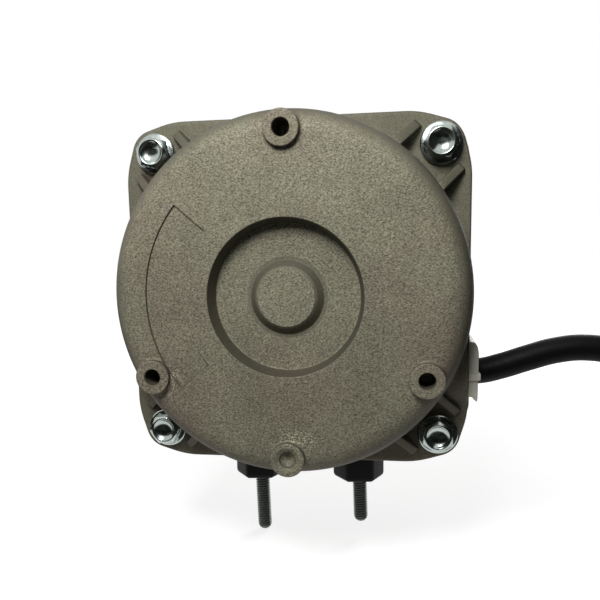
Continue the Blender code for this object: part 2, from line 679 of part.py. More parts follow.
def make_bobbin(number, quarter, material):
    """Moulded former: a sleeve around the pole neck between two flanges."""
    hole_x = NECK_WIDTH / 2 + SEAT_GAP
    hole_y = STACK_LENGTH / 2 + SEAT_GAP
    half_y = STACK_LENGTH / 2 + COIL_OVERHANG
    matrix = pole_matrix(quarter)
    hole = rectangle(hole_x, hole_y)
    length = BOBBIN_OUTER - BOBBIN_INNER
    sleeve = [rectangle(hole_x + BOBBIN_WALL, hole_y + BOBBIN_WALL), hole]
    place = standing(matrix, (BOBBIN_INNER + BOBBIN_OUTER) / 2)
    bobbin = slab(f"bobbin_{number}", sleeve, length, place, material)
    for end, radius in (("in", BOBBIN_INNER + BOBBIN_WALL / 2), ("out", BOBBIN_OUTER - BOBBIN_WALL / 2)):
        flange = [rounded_rectangle(BOBBIN_HALF_WIDTH, half_y, 1.5 * BOBBIN_WALL), hole]
        cheek = slab(f"bobbin_{number}_{end}", flange, BOBBIN_WALL, standing(matrix, radius), is_cutter=True)
        combine(bobbin, cheek, "UNION")
    return bobbin


def make_coil(number, quarter, material):
    """Enamelled winding that fills the bobbin between its flanges."""
    inner_x = NECK_WIDTH / 2 + BOBBIN_WALL + 2 * SEAT_GAP
    inner_y = STACK_LENGTH / 2 + BOBBIN_WALL + 2 * SEAT_GAP
    half_x = BOBBIN_HALF_WIDTH - COIL_INSET
    half_y = STACK_LENGTH / 2 + COIL_OVERHANG - COIL_INSET
    outline = rounded_rectangle(half_x, half_y, half_x - inner_x, 4)
    length = BOBBIN_OUTER - BOBBIN_INNER - 2 * BOBBIN_WALL - 2 * SEAT_GAP
    place = standing(pole_matrix(quarter), (BOBBIN_INNER + BOBBIN_OUTER) / 2)
    return slab(f"coil_{number}", [outline, rectangle(inner_x, inner_y)], length, place, material)


def make_shading_ring(number, quarter, material):
    """Copper loop round the trailing part of a pole shoe."""
    inner = rectangle(RING_OPENING / 2, STACK_LENGTH / 2 + SEAT_GAP)
    outer = rectangle(RING_OPENING / 2 + RING_WIRE, STACK_LENGTH / 2 + SEAT_GAP + RING_WIRE)
    centre = Matrix.Translation((0.0, STACK_MIDDLE - STUD_DEPTH, AXIS_HEIGHT))
    turn = Matrix.Rotation(-math.radians(90.0 * quarter + RING_ANGLE), 4, "Y")
    place = standing(centre @ turn, RING_RADIUS)
    return slab(f"shading_ring_{number}", [outer, inner], RING_THICKNESS, place, material)


def ring(name, inner, outer, start, end, material, steps=SMALL_STEPS, is_cutter=False):
    profile = [(inner, start), (outer, start), (outer, end), (inner, end)]
    return turned(name, profile, along_y(), material, closed=True, steps=steps, is_cutter=is_cutter)


def make_bearing(name, start, material):
    """Sintered bush with a barrel-shaped outside."""
    outer = BEARING_DIAMETER / 2
    end = start + BEARING_LENGTH
    third = BEARING_LENGTH / 3
    profile = [
        (SHAFT_HOLE_RADIUS, start), (outer - BEARING_BARREL, start), (outer, start + third),
        (outer, end - third), (outer - BEARING_BARREL, end), (SHAFT_HOLE_RADIUS, end),
    ]
    return turned(name, profile, along_y(), material, closed=True, steps=SMALL_STEPS)


def make_bearings(bronze, felt, steel):
    """Each end from the rotor outwards: clip, bush and oil felt."""
    outer = BEARING_DIAMETER / 2
    for name, end, sign in (("rear", REAR_TUBE_END, -1), ("front", FRONT_TUBE_END, 1)):
        clip_near = end + sign * CLIP_RECESS
        clip_far = clip_near + sign * CLIP_THICKNESS
        bush_near = clip_far + sign * SEAT_GAP
        bush_far = bush_near + sign * BEARING_LENGTH
        felt_near = bush_far + sign * SEAT_GAP
        felt_far = felt_near + sign * FELT_LENGTH
        clip_ends = sorted((clip_near, clip_far))
        ring(f"{name}_bearing_clip", CLIP_INNER_RADIUS, outer, *clip_ends, steel)
        make_bearing(f"{name}_bearing", min(bush_near, bush_far), bronze)
        felt_inner = SHAFT_DIAMETER / 2 + SEAT_GAP
        ring(f"{name}_oil_felt", felt_inner, outer, *sorted((felt_near, felt_far)), felt)


def make_rotor(steel, laminated, cast):
    radius = SHAFT_DIAMETER / 2
    start = RECESS_DEPTH - HUB_HEIGHT + HUB_WALL + SHAFT_END_ROOM
    profile = [
        (0.0, start), (radius - SHAFT_CHAMFER, start), (radius, start + SHAFT_CHAMFER),
        (radius, SHAFT_END - SHAFT_CHAMFER), (radius - SHAFT_CHAMFER, SHAFT_END), (0.0, SHAFT_END),
    ]
    shaft = turned("shaft", profile, along_y(), steel, steps=SMALL_STEPS)
    beside = Matrix.Translation((0.0, SHAFT_DIAMETER - SHAFT_FLAT_CUT, 0.0))
    place = facing_y(SHAFT_END - SHAFT_FLAT_LENGTH / 2 + SEAT_GAP) @ beside
    outline = rectangle(SHAFT_DIAMETER, SHAFT_DIAMETER / 2)
    flat = slab("shaft_flat", [outline], SHAFT_FLAT_LENGTH, place, is_cutter=True)
    combine(shaft, flat, "DIFFERENCE")
    core_radius = ROTOR_DIAMETER / 2
    outside = core_radius - CAGE_RING_INSET
    inside = BEARING_TUBE_RADIUS + TUBE_TO_CAGE
    middle = (inside + outside) / 2
    core_hole = radius + SEAT_GAP
    core = ring("rotor_core", core_hole, core_radius, STACK_REAR, STACK_FRONT, laminated, FINE_STEPS)
    rear_ring = STACK_REAR - SEAT_GAP - CAGE_RING_LENGTH
    front_ring = STACK_FRONT + SEAT_GAP
    cage = ring("rotor_cage", inside, outside, rear_ring, rear_ring + CAGE_RING_LENGTH, cast, FINE_STEPS)
    far = ring("far_ring", inside, outside, front_ring, front_ring + CAGE_RING_LENGTH, None, FINE_STEPS, True)
    bars = []
    holes = []
    for index in range(CAGE_BARS):
        x, z = turn_point((middle, 0.0), 360.0 * index / CAGE_BARS)
        bar_start = rear_ring + CAGE_RING_LENGTH / 2
        bar_length = front_ring + CAGE_RING_LENGTH / 2 - bar_start
        bars.append((CAGE_BAR_DIAMETER / 2, bar_length, along_y(x, bar_start, z)))
        hole_radius = CAGE_BAR_DIAMETER / 2 + SEAT_GAP
        holes.append((hole_radius, STACK_LENGTH + 2 * SEAT_GAP, along_y(x, STACK_REAR - SEAT_GAP, z)))
    bar_cutter = cylinders("cage_bars", bars, 6)
    combine(cage, bar_cutter, "UNION")
    combine(cage, far, "UNION")
    combine(core, cylinders("core_holes", holes, 6), "DIFFERENCE")
    for name, near in (
        ("thrust_washer_rear", STACK_REAR - SEAT_GAP - WASHER_THICKNESS),
        ("thrust_washer_front", STACK_FRONT + SEAT_GAP),
    ):
        ring(name, radius + SEAT_GAP, WASHER_DIAMETER / 2, near, near + WASHER_THICKNESS, steel)


def make_cover_screws(material):
    """Hex washer head screws: one mesh shared by four objects, local +Z into the cover."""
    radius = SCREW_DIAMETER / 2
    flange = SCREW_FLANGE_DIAMETER / 2
    washer = SCREW_FLANGE_THICKNESS
    profile = [(0.0, -washer), (flange - washer / 5, -washer), (flange, -0.6 * washer), (flange, 0.0)]
    profile += [(radius, 0.0), (radius, SCREW_LENGTH - radius / 2)]
    profile += [(radius / 2, SCREW_LENGTH), (0.0, SCREW_LENGTH)]
    screw = turned("screw_form", profile, Matrix.Identity(4), None, steps=SMALL_STEPS)
    form = bmesh.new()
    corner = SCREW_ACROSS_FLATS / math.sqrt(3)
    height = SCREW_HEAD_HEIGHT - SCREW_FLANGE_THICKNESS / 2
    cylinder(form, corner, height, Matrix.Translation((0.0, 0.0, -SCREW_HEAD_HEIGHT)), 6)
    mesh = bpy.data.meshes.new("screw_hexagon")
    form.to_mesh(mesh)
    form.free()
    hexagon = link_object("screw_hexagon", mesh, Matrix.Identity(4), None, True)
    combine(screw, hexagon, "UNION")
    limit = SCREW_ACROSS_FLATS / 2 * 0.95
    top = -SCREW_HEAD_HEIGHT
    wide = 2 * corner
    fall = (wide - limit) * math.tan(math.radians(SCREW_CHAMFER_ANGLE))
    profile = [(limit, top - SEAT_GAP), (wide, top - SEAT_GAP), (wide, top + fall), (limit, top)]
    still = Matrix.Identity(4)
    chamfer = turned("screw_chamfer", profile, still, closed=True, steps=SMALL_STEPS, is_cutter=True)
    combine(screw, chamfer, "DIFFERENCE")
    profile = [(0.0, top - SEAT_GAP), (SCREW_DISH_RADIUS, top - SEAT_GAP), (SCREW_DISH_RADIUS, top)]
    profile += [(0.7 * SCREW_DISH_RADIUS, top + 0.7 * SCREW_DISH_DEPTH), (0.0, top + SCREW_DISH_DEPTH)]
    dish = turned("screw_dish", profile, still, steps=SMALL_STEPS, is_cutter=True)
    combine(screw, dish, "DIFFERENCE")
    mesh = evaluated_mesh(screw)
    mesh.name = "cover_screw"
    mesh.materials.clear()
    mesh.materials.append(material)
    remove_object(screw)
    for number, (x, z) in enumerate(screw_places(), 1):
        obj = bpy.data.objects.new(f"cover_screw_{number}", mesh)
        obj.matrix_world = along_y(x, LUG_DEPTH - SEAT_GAP, z)
        parts.objects.link(obj)
    for name in ("screw_hexagon", "screw_chamfer", "screw_dish"):
        remove_object(bpy.data.objects[name])


def make_feet(rubber, zinc):
    """Hexagonal spacers under the shell, each held by a stud that runs on below."""
    for name, side, projection in (
        ("left", -1, LEFT_STUD_PROJECTION), ("right", 1, RIGHT_STUD_PROJECTION),
    ):
        x = side * STUD_SPACING / 2
        form = bmesh.new()
        turn = Matrix.Rotation(math.radians(FOOT_TURN), 4, "Z")
        cylinder(form, FOOT_ACROSS_FLATS / math.sqrt(3), FOOT_HEIGHT, turn, 6)
        mesh = bpy.data.meshes.new(f"foot_spacer_{name}")
        form.to_mesh(mesh)
        form.free()
        foot = link_object(f"foot_spacer_{name}", mesh, Matrix.Translation((x, 0.0, 0.0)), rubber, False)
        soften(foot, FOOT_EDGE_ROUND, 2)
        hole = (STUD_HOLE_RADIUS, FOOT_HEIGHT + 2 * SEAT_GAP, Matrix.Translation((x, 0.0, -SEAT_GAP)))
        combine(foot, cylinders(f"foot_hole_{name}", [hole], TINY_STEPS), "DIFFERENCE")
        radius = STUD_DIAMETER / 2
        top = FOOT_HEIGHT + SEAT_GAP + STUD_ENGAGEMENT
        profile = [(0.0, -projection)]
        profile += arc((radius - STUD_TIP_ROUND, STUD_TIP_ROUND - projection), STUD_TIP_ROUND, -90.0, 0.0, 3)
        profile += [(radius, top - STUD_TIP_ROUND / 2), (radius - STUD_TIP_ROUND / 2, top), (0.0, top)]
        turned(f"foot_stud_{name}", profile, Matrix.Translation((x, 0.0, 0.0)), zinc, steps=SMALL_STEPS)


def make_grommet(material):
    """Nylon bush: a flange against the shell's side and a short round body in the tunnel."""
    half = GROMMET_FLANGE_SIZE / 2
    centre = Matrix.Translation((GROMMET_OUTSIDE - GROMMET_FLANGE_THICKNESS / 2, PORT_Y, PORT_HEIGHT))
    upright = Matrix(((0, 0, 1, 0), (1, 0, 0, 0), (0, 1, 0, 0), (0, 0, 0, 1)))
    outline = rounded_rectangle(half, half, GROMMET_CORNER, 4)
    grommet = slab("cable_grommet", [outline], GROMMET_FLANGE_THICKNESS, centre @ upright, material)
    soften(grommet, GROMMET_FLANGE_THICKNESS / 5, 2)
    start = HALF_BODY - GROMMET_BODY_LENGTH
    length = GROMMET_BODY_LENGTH + SEAT_GAP + GROMMET_FLANGE_THICKNESS / 2
    along_x = Matrix.Rotation(math.pi / 2, 4, "Y")
    place = Matrix.Translation((start, PORT_Y, PORT_HEIGHT)) @ along_x
    body = cylinders("grommet_body", [(GROMMET_BODY_DIAMETER / 2, length, place)], SMALL_STEPS)
    combine(grommet, body, "UNION")
    place = Matrix.Translation((start - SEAT_GAP, PORT_Y, PORT_HEIGHT)) @ along_x
    hole = (CORD_DIAMETER / 2 + SEAT_GAP, GROMMET_OUTSIDE - start + 2 * SEAT_GAP, place)
    combine(grommet, cylinders("grommet_hole", [hole], SMALL_STEPS), "DIFFERENCE")
    return grommet


def smooth_path(points, spacing):
    """Even points on a smooth curve through the given points."""
    ends = [2 * points[0] - points[1], *points, 2 * points[-1] - points[-2]]
    fine = []
    for index in range(1, len(ends) - 2):
        p0, p1, p2, p3 = ends[index - 1:index + 3]
        for step in range(20):
            t = step / 20
            fine.append(0.5 * (
                2 * p1 + (p2 - p0) * t + (2 * p0 - 5 * p1 + 4 * p2 - p3) * t ** 2
                + (3 * p1 - 3 * p2 + p3 - p0) * t ** 3
            ))
    fine.append(points[-1])
    total = sum((b - a).length for a, b in zip(fine, fine[1:]))
    count = max(2, round(total / spacing))
    even = [fine[0]]
    travelled = 0.0
    for a, b in zip(fine, fine[1:]):
        travelled += (b - a).length
        if travelled >= len(even) * total / count and len(even) < count:
            even.append(b)
    even.append(fine[-1])
    return even


def make_leads(brown, blue, green):
    """Inner cores from the grommet to two coils and to the earth tag."""
    start = CORD_START - CORD_GAP
    across = LEAD_SPREAD * math.sin(math.radians(60.0))
    near = PORT_Y - LEAD_SPREAD
    far = PORT_Y + LEAD_SPREAD / 2
    clear_of_bobbin = BOBBIN_HALF_WIDTH + SEAT_GAP + LEAD_DIAMETER / 2
    coil_end = STACK_REAR - COIL_OVERHANG + LEAD_BURY - STUD_DEPTH
    coil_middle = (BOBBIN_INNER + BOBBIN_OUTER) / 2
    tag_y = EARTH_BOSS_DEPTH + CROWN_DROP / 2 + SEAT_GAP + EARTH_TAG_THICKNESS / 2 - STUD_DEPTH
    tag_x = EARTH_X + EARTH_HEAD_DIAMETER / 2 + LEAD_DIAMETER
    high = PORT_HEIGHT + across
    low = PORT_HEIGHT - across
    inside = math.sqrt((STACK_WIDTH / 2 - SPIGOT_WALL) ** 2 - PORT_DROP ** 2) - LEAD_DIAMETER
    routes = {
        "lead_brown": (brown, [
            (start, far, high), (inside, far, high),
            (coil_middle - LEAD_DIAMETER, coil_end, AXIS_HEIGHT - clear_of_bobbin),
        ]),
        "lead_blue": (blue, [
            (start, far, low), (inside, far, low - LEAD_DIAMETER),
            (clear_of_bobbin + LEAD_DIAMETER, coil_end - LEAD_BURY / 3, AXIS_HEIGHT - coil_middle),
            (clear_of_bobbin, coil_end, AXIS_HEIGHT - coil_middle),
        ]),
        "lead_earth": (green, [
            (start, near, PORT_HEIGHT), (inside, near - LEAD_DIAMETER / 2, PORT_HEIGHT),
            (tag_x + LEAD_DIAMETER / 2, tag_y, AXIS_HEIGHT - EARTH_DROP),
        ]),
    }
    for name, (material, points) in routes.items():
        path = smooth_path([Vector(point) for point in points], LEAD_STEP)
        tube(name, path, LEAD_DIAMETER, material)


def make_earth_terminal(steel, tinned):
    """Tag held on the cover's inner boss by a small pan head screw."""
    boss_face = EARTH_BOSS_DEPTH + CROWN_DROP / 2
    tag_start = boss_face + SEAT_GAP
    tag_end = tag_start + EARTH_TAG_THICKNESS
    hole = EARTH_SCREW_DIAMETER / 2 + SEAT_GAP
    outer = EARTH_HEAD_DIAMETER / 2
    tongue = outer + LEAD_DIAMETER - SEAT_GAP
    outline = arc((0.0, 0.0), outer, 40.0, 320.0, 14) + [(tongue, -outer / 2), (tongue, outer / 2)]
    matrix = facing_y((tag_start + tag_end) / 2) @ Matrix.Translation((EARTH_X, -EARTH_DROP, 0.0))
    slab("earth_tag", [outline, circle(hole, TINY_STEPS)], EARTH_TAG_THICKNESS, matrix, tinned)
    radius = EARTH_SCREW_DIAMETER / 2
    head = tag_end + SEAT_GAP
    end = head - EARTH_SCREW_LENGTH
    top = head + EARTH_HEAD_HEIGHT
    profile = [(0.0, end), (radius, end), (radius, head), (outer, head)]
    profile += [(outer, head + EARTH_HEAD_HEIGHT / 2), (outer / 2, top), (0.0, top)]
    turned("earth_screw", profile, along_y(EARTH_X, 0.0, -EARTH_DROP), steel, steps=TINY_STEPS)


def cord_route():
    """Straight through the grommet, then over a low hump and down to the coil."""
    level = PORT_HEIGHT
    start = GROMMET_OUTSIDE + CORD_GAP
    span = COIL_CENTRE_X - CORD_GAP - start
    drop = level - CORD_REST - TIE_THICKNESS - CORD_GAP
    chosen = [Vector((start + along * span, PORT_Y, level + up * drop)) for along, up in CORD_SHAPE]
    return [Vector((CORD_START, PORT_Y, level)), *smooth_path(chosen, 2.0 * CORD_DIAMETER)]


def make_free_cord(sheath, tie_material, core_materials):
    tube("supply_cord", cord_route(), CORD_DIAMETER, sheath, 3)
    radius = CORD_DIAMETER / 2
    low = FLOOR_LEVEL + TIE_THICKNESS + CORD_GAP
    high = low + CORD_DIAMETER
    inner = COIL_INNER_RADIUS - radius
    outer = COIL_OUTER_RADIUS + radius
    corner = radius * 0.6
    profile = arc((outer - corner, high - corner), corner, 90.0, 0.0, 2)
    profile += arc((outer - corner, low + corner), corner, 0.0, -90.0, 2)
    profile += arc((inner + corner, low + corner), corner, -90.0, -180.0, 2)
    profile += arc((inner + corner, high - corner), corner, 180.0, 90.0, 2)
    place = Matrix.Translation((COIL_CENTRE_X, COIL_CENTRE_Y, 0.0))
    coil = turned("cord_coil", profile, place, sheath, closed=True, steps=36)
    groove_path = cord_route()[-5:]
    groove_path.append(groove_path[-1] + Vector((CORD_GAP, 0.0, 0.0)))
    groove = tube("cord_groove", groove_path, CORD_DIAMETER + 2 * CORD_GAP, None, 3, True)
    combine(coil, groove, "DIFFERENCE")
    middle = Vector(((inner + outer) / 2, (low + high) / 2))
    half_r = (outer - inner) / 2 + CORD_GAP
    half_h = (high - low) / 2 + CORD_GAP
    tie_place = Matrix.Translation((COIL_CENTRE_X + middle.x, COIL_CENTRE_Y, middle.y))
    frame = tie_place @ Matrix.Rotation(math.pi / 2, 4, "X")
    opening = rounded_rectangle(half_r, half_h, TIE_THICKNESS)
    outside = rounded_rectangle(half_r + TIE_THICKNESS, half_h + TIE_THICKNESS, 2 * TIE_THICKNESS)
    slab("cord_tie", [outside, opening], TIE_WIDTH, frame, tie_material)
    centre = Vector((COIL_CENTRE_X, COIL_CENTRE_Y, (low + high) / 2))
    rest = FLOOR_LEVEL + CORE_DIAMETER / 2
    angle = math.radians(COIL_END_ANGLE)
    start = centre + Vector((math.cos(angle), math.sin(angle), 0.0)) * (inner - CORE_DIAMETER)
    for name, place in (("brown", -1), ("blue", 0), ("earth", 1)):
        middle_way = math.radians(COIL_END_ANGLE + 90.0 + CORE_TURN_IN)
        own_way = middle_way + math.radians(CORE_SPREAD) * place
        forward = Vector((math.cos(middle_way), math.sin(middle_way), 0.0))
        heading = Vector((math.cos(own_way), math.sin(own_way), 0.0))
        side = Vector((-forward.y, forward.x, 0.0)) * place * (CORE_DIAMETER + CORD_GAP)
        points = [start + side, start + side + forward * CORE_DIAMETER]
        for travel in (CORE_DROOP, 0.6 * CORE_LENGTH, CORE_LENGTH):
            point = start + side + heading * travel
            point.z = rest
            points.append(point)
        tube(f"core_{name}", smooth_path(points, 2.5 * CORE_DIAMETER), CORE_DIAMETER, core_materials[name])


def bake_pieces():
    """Turns every piece into a plain mesh, smooth on its round faces."""
    graph = bpy.context.evaluated_depsgraph_get()
    results = [(obj, bpy.data.meshes.new_from_object(obj.evaluated_get(graph))) for obj in parts.objects]
    for obj, mesh in results:
        materials = list(obj.data.materials)
        obj.modifiers.clear()
        obj.data = mesh
        mesh.materials.clear()
        for material in materials:
            mesh.materials.append(material)
        for polygon in mesh.polygons:
            polygon.material_index = 0
        mesh.shade_smooth()
        mesh.set_sharp_from_angle(angle=math.radians(35.0))


def main():
    global parts, cutters
    for obj in list(bpy.data.objects):
        bpy.data.objects.remove(obj)
    parts = new_collection("shaded_pole_motor")
    cutters = new_collection("cutters")
    cast = make_material("cast_shell", (0.24, 0.225, 0.17), 0.6, 0.3)
    zinc = make_material("bright_zinc", (0.72, 0.76, 0.76), 0.25, 1.0)
    dull_zinc = make_material("stud_zinc", (0.25, 0.27, 0.26), 0.4, 1.0)
    rubber = make_material("foot_black", (0.02, 0.02, 0.02), 0.6, 0.0)
    nylon = make_material("natural_nylon", (0.62, 0.60, 0.50), 0.45, 0.0)
    laminated = make_material("lamination", (0.35, 0.35, 0.37), 0.45, 0.9)
    copper = make_material("copper", (0.72, 0.36, 0.20), 0.3, 1.0)
    enamel = make_material("coil_enamel", (0.45, 0.16, 0.06), 0.35, 0.5)
    former = make_material("bobbin_plastic", (0.80, 0.78, 0.72), 0.5, 0.0)
    bronze = make_material("sintered_bronze", (0.50, 0.36, 0.20), 0.55, 0.8)
    felt = make_material("felt", (0.68, 0.64, 0.55), 0.95, 0.0)
    steel = make_material("ground_steel", (0.60, 0.60, 0.61), 0.25, 1.0)
    cage = make_material("cage_aluminium", (0.70, 0.71, 0.72), 0.45, 1.0)
    sheath = make_material("cord_sheath", (0.015, 0.015, 0.015), 0.45, 0.0)
    brown = make_material("core_brown", (0.20, 0.08, 0.03), 0.45, 0.0)
    blue = make_material("core_blue", (0.04, 0.16, 0.50), 0.45, 0.0)
    green = make_material("core_green", (0.12, 0.42, 0.06), 0.45, 0.0)
    make_cable_tunnel()
    make_rear_cover(cast)
    make_front_cover(cast)
    make_stator_yoke(laminated)
    make_pole_star(laminated)
    for quarter in range(4):
        make_bobbin(quarter + 1, quarter, former)
        make_coil(quarter + 1, quarter, enamel)
        make_shading_ring(quarter + 1, quarter, copper)
    make_bearings(bronze, felt, steel)
    make_rotor(steel, laminated, cage)
    make_cover_screws(zinc)
    make_feet(rubber, dull_zinc)
    make_grommet(nylon)
    make_earth_terminal(steel, zinc)
    make_leads(brown, blue, green)
    make_free_cord(sheath, rubber, {"brown": brown, "blue": blue, "earth": green})
    bpy.context.view_layer.update()
    bake_pieces()


main()
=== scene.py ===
"""Square shaded pole motor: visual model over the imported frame, laid out as a Blender add-on.

Lengths are metres in the frame's own axes: X across, Y from the domed rear cover to the shaft's free end,
Z up. Where a comment or docstring says millimetres, a place is (x, depth, height), with depth measured back
from the rear cover's face and height from the shaft's axis.
"""

import json
import math

import bmesh
import bpy
import numpy as np
from mathutils import Matrix, Vector


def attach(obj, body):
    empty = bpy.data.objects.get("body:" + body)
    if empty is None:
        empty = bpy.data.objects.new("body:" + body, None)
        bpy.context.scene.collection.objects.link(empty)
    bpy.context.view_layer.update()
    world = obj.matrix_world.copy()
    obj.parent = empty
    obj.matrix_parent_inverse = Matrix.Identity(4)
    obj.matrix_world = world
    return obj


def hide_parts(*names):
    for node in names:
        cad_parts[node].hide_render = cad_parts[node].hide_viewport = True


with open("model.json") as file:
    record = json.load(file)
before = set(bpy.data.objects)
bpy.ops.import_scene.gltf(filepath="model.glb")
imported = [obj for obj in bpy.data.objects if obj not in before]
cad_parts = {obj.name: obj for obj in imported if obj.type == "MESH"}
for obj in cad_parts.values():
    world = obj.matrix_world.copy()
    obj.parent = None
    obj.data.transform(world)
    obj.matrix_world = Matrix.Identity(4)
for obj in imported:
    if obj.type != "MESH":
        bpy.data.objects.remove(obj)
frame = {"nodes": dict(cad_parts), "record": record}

bl_info = {
    "name": "Shaded pole motor",
    "version": (1, 0, 0),
    "blender": (4, 5, 0),
    "location": "View3D > Sidebar > Motor",
    "description": "Builds the visual model of a square shaded pole motor",
    "category": "Object",
}

MM = 0.001

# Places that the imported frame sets, and what its record says
SHAFT_HEIGHT = 53.7 * MM
FACE_DEPTH = 38.5 * MM
FACE_CENTRE = (0.0, -FACE_DEPTH, SHAFT_HEIGHT)
FLOOR = -17.1 * MM
SLOT_OF = {part["node"]: part["material_slot"] for part in frame["record"]["subparts"]}
RECORD_COLOURS = {entry["slot"]: entry["base_color"] for entry in frame["record"]["materials"]}

# Camera fitted to the photograph
CAMERA_PLACE = (28.7 * MM, -187.2 * MM, 64.9 * MM)
CAMERA_FORWARD = (-0.1588, 0.9764, -0.1463)
CAMERA_UP = (-0.0073, 0.1471, 0.9891)
CAMERA_LENS = 40.8
CAMERA_SHIFT = (-0.0083, 0.08)

# Covers, in millimetres on (x, depth, height)
HALF = 42.2
OUTLINE_SHIFT = -0.5
REAR_LUG = 6.0
FRONT_LUG = 6.7
SCREW = 34.5
TAPER = math.radians(17.0)
DOME_R = 41.95
DOME_ROUND = 5.8
CROWN = 0.9
CROWN_END = 36.2
DISC_R = 33.4
RECESS_R = 17.9
RECESS_D = 3.96
HUB_D = 2.0
FIELD_RADII = (23.7, 32.7)
FIELD_ANGLES = (139.9, 219.8)
FIELD_D = 0.5
LOW_BOSS = (0.0, -37.2)
BOSSES = ((0.0, 36.8, 1.9), (-31.6, -18.25, 1.85), (*LOW_BOSS, 1.8), (31.6, -18.25, 1.85))
BOSS_R = 4.0
BOSS_FACE = -0.7
RIB_OFFSET = 7.1
PORT_HEIGHT = -19.4
PORT_R = 9.5
FLANGE_FACE = 16.8
COVER_JOINT = 21.9
UNDERSIDE = -21.8
FRONT_BOSSES = ((-27.0, -27.0), (-27.0, 27.0), (27.0, -27.0), (27.0, 27.0))
FRONT_BOSS_FACE = 62.8
FRONT_FACE = 62.0
FRONT_HUB_R = 12.0
FRONT_HUB_FACE = 66.0

# Light grains beside the lower bosses: centre and reach
RESIDUE = (
    ((1.0 * MM, -36.5 * MM, SHAFT_HEIGHT - 32.4 * MM), 4.5 * MM),
    ((5.0 * MM, -36.2 * MM, SHAFT_HEIGHT - 33.2 * MM), 3.5 * MM),
    ((-27.4 * MM, -36.5 * MM, SHAFT_HEIGHT - 18.8 * MM), 4.0 * MM),
)

# Cover screws and feet, as the photograph shows them
SCREW_DEPTH = 16.5
SCREW_TURNS = (0.0, -15.0, 5.0, 30.0)
STUD_HALF_SPACING = 14.2 * MM
STUD_SHIFT = -0.75 * MM
SPACER_SHIFT = -1.0 * MM
STUD_LEAN = math.radians(-1.6)
FEET = (("left", -1, 17.1), ("right", 1, 13.4))

# Free cord: its route from the bush, its coil on the floor, and how its cores fan out past the end
CABLE_Y = -16.5 * MM
CABLE_HEIGHT = 34.0 * MM
CORD_ROUTE = (
    (38.3, 34.0), (44.7, 34.0), (49.98, 35.30), (55.98, 37.31), (62.51, 39.22), (69.49, 39.92),
    (77.01, 38.61), (84.53, 34.19), (90.97, 25.98), (95.63, 16.01), (99.38, 5.99), (104.58, -3.42),
    (112.18, -9.80), (120.51, -11.90), (128.02, -12.6),
)
COIL_CENTRE = (134.5 * MM, 24.0 * MM)
COIL_LEVEL = -12.6 * MM
COIL_RADII = (40.5 * MM, 31.3 * MM)
COIL_SWEEP = (-90.0, 396.0)
CORE_FAN = ((9.0, 2.0, 0.55), (18.0, 8.0, 1.0), (26.0, 17.0, 1.0), (31.0, 27.0, 1.0))

# Floor, whose glow for the camera grows with the distance, so that only the near part shows a shadow
FLOOR_SIDES = (-3.0, 3.0)
FLOOR_GLOW = (("From Min", 0.15), ("From Max", 0.45), ("To Min", 0.75), ("To Max", 1.0))

# Black cards: a level one by its sides, and upright ones by start, end, top and whether bounces stop there
CARD_COLOUR = (0.04, 0.045, 0.04)
CARD_LEVEL = FLOOR + MM
LOW_CARD = ((-0.35, 0.35), (-0.5, -0.06))
UPRIGHT_CARDS = (
    ("right_card", (0.16, -0.5), (0.16, 0.1), 0.25, True),
    ("front_card", (-0.8, -0.5), (0.8, -0.5), 0.25, False),
    ("left_card", (-0.16, -0.5), (-0.16, 0.1), 0.04, False),
)

# Lamps, all aimed at the covers: size and energy, with the key's angle, elevation and distance
AIM = (0.0, -0.03, SHAFT_HEIGHT)
KEY_PLACE = (97.0, 47.0, 0.21)
KEY_LAMP = (0.08, 0.31)
BACK_PLACE = (0.14, 0.36, 0.2)
BACK_LAMP = (0.2, 0.4)
WORLD_LIGHT = 0.12


def add_object(name, mesh, material=None):
    obj = bpy.data.objects.new(name, mesh)
    bpy.context.scene.collection.objects.link(obj)
    if material:
        mesh.materials.clear()
        mesh.materials.append(material)
    return obj


def finish_piece(obj, body, slot, *nodes, smooth_angle=40.0):
    mesh = obj.data
    if isinstance(mesh, bpy.types.Mesh):
        mesh.shade_smooth()
        mesh.set_sharp_from_angle(angle=math.radians(smooth_angle))
    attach(obj, body)
    if nodes:
        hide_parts(*nodes)


def to_frame(points):
    """Millimetre (x, depth, height) rows as metre rows in the frame."""
    return np.asarray(points, dtype=float) * MM + FACE_CENTRE


def millimetre_rows(items, key):
    """One place of every vertex or face, as millimetre (x, depth, height) rows."""
    flat = np.empty(len(items) * 3, dtype=np.float32)
    items.foreach_get(key, flat)
    return (flat.reshape(-1, 3).astype(float) - FACE_CENTRE) / MM


def rearward(x=0.0, depth=0.0, height=0.0):
    """Places a local +Z axis towards the viewer at a millimetre place."""
    return Matrix.Translation(to_frame((x, depth, height))) @ Matrix.Rotation(math.pi / 2, 4, "X")


def frontward(x, depth, height):
    """Places a local +Z axis away from the viewer at a millimetre place."""
    return rearward(x, depth, height) @ Matrix.Rotation(math.pi, 4, "X")


def evaluated_mesh(obj):
    """The object's mesh with its modifiers applied."""
    bpy.context.view_layer.update()
    graph = bpy.context.evaluated_depsgraph_get()
    return bpy.data.meshes.new_from_object(obj.evaluated_get(graph))


def mesh_from(name, vertices, faces, matrix=None):
    mesh = bpy.data.meshes.new(name)
    mesh.from_pydata([tuple(v) for v in vertices], [], faces)
    if matrix is not None:
        mesh.transform(matrix)
    mesh.validate()
    form = bmesh.new()
    form.from_mesh(mesh)
    bmesh.ops.recalc_face_normals(form, faces=form.faces)
    form.to_mesh(mesh)
    form.free()
    return mesh


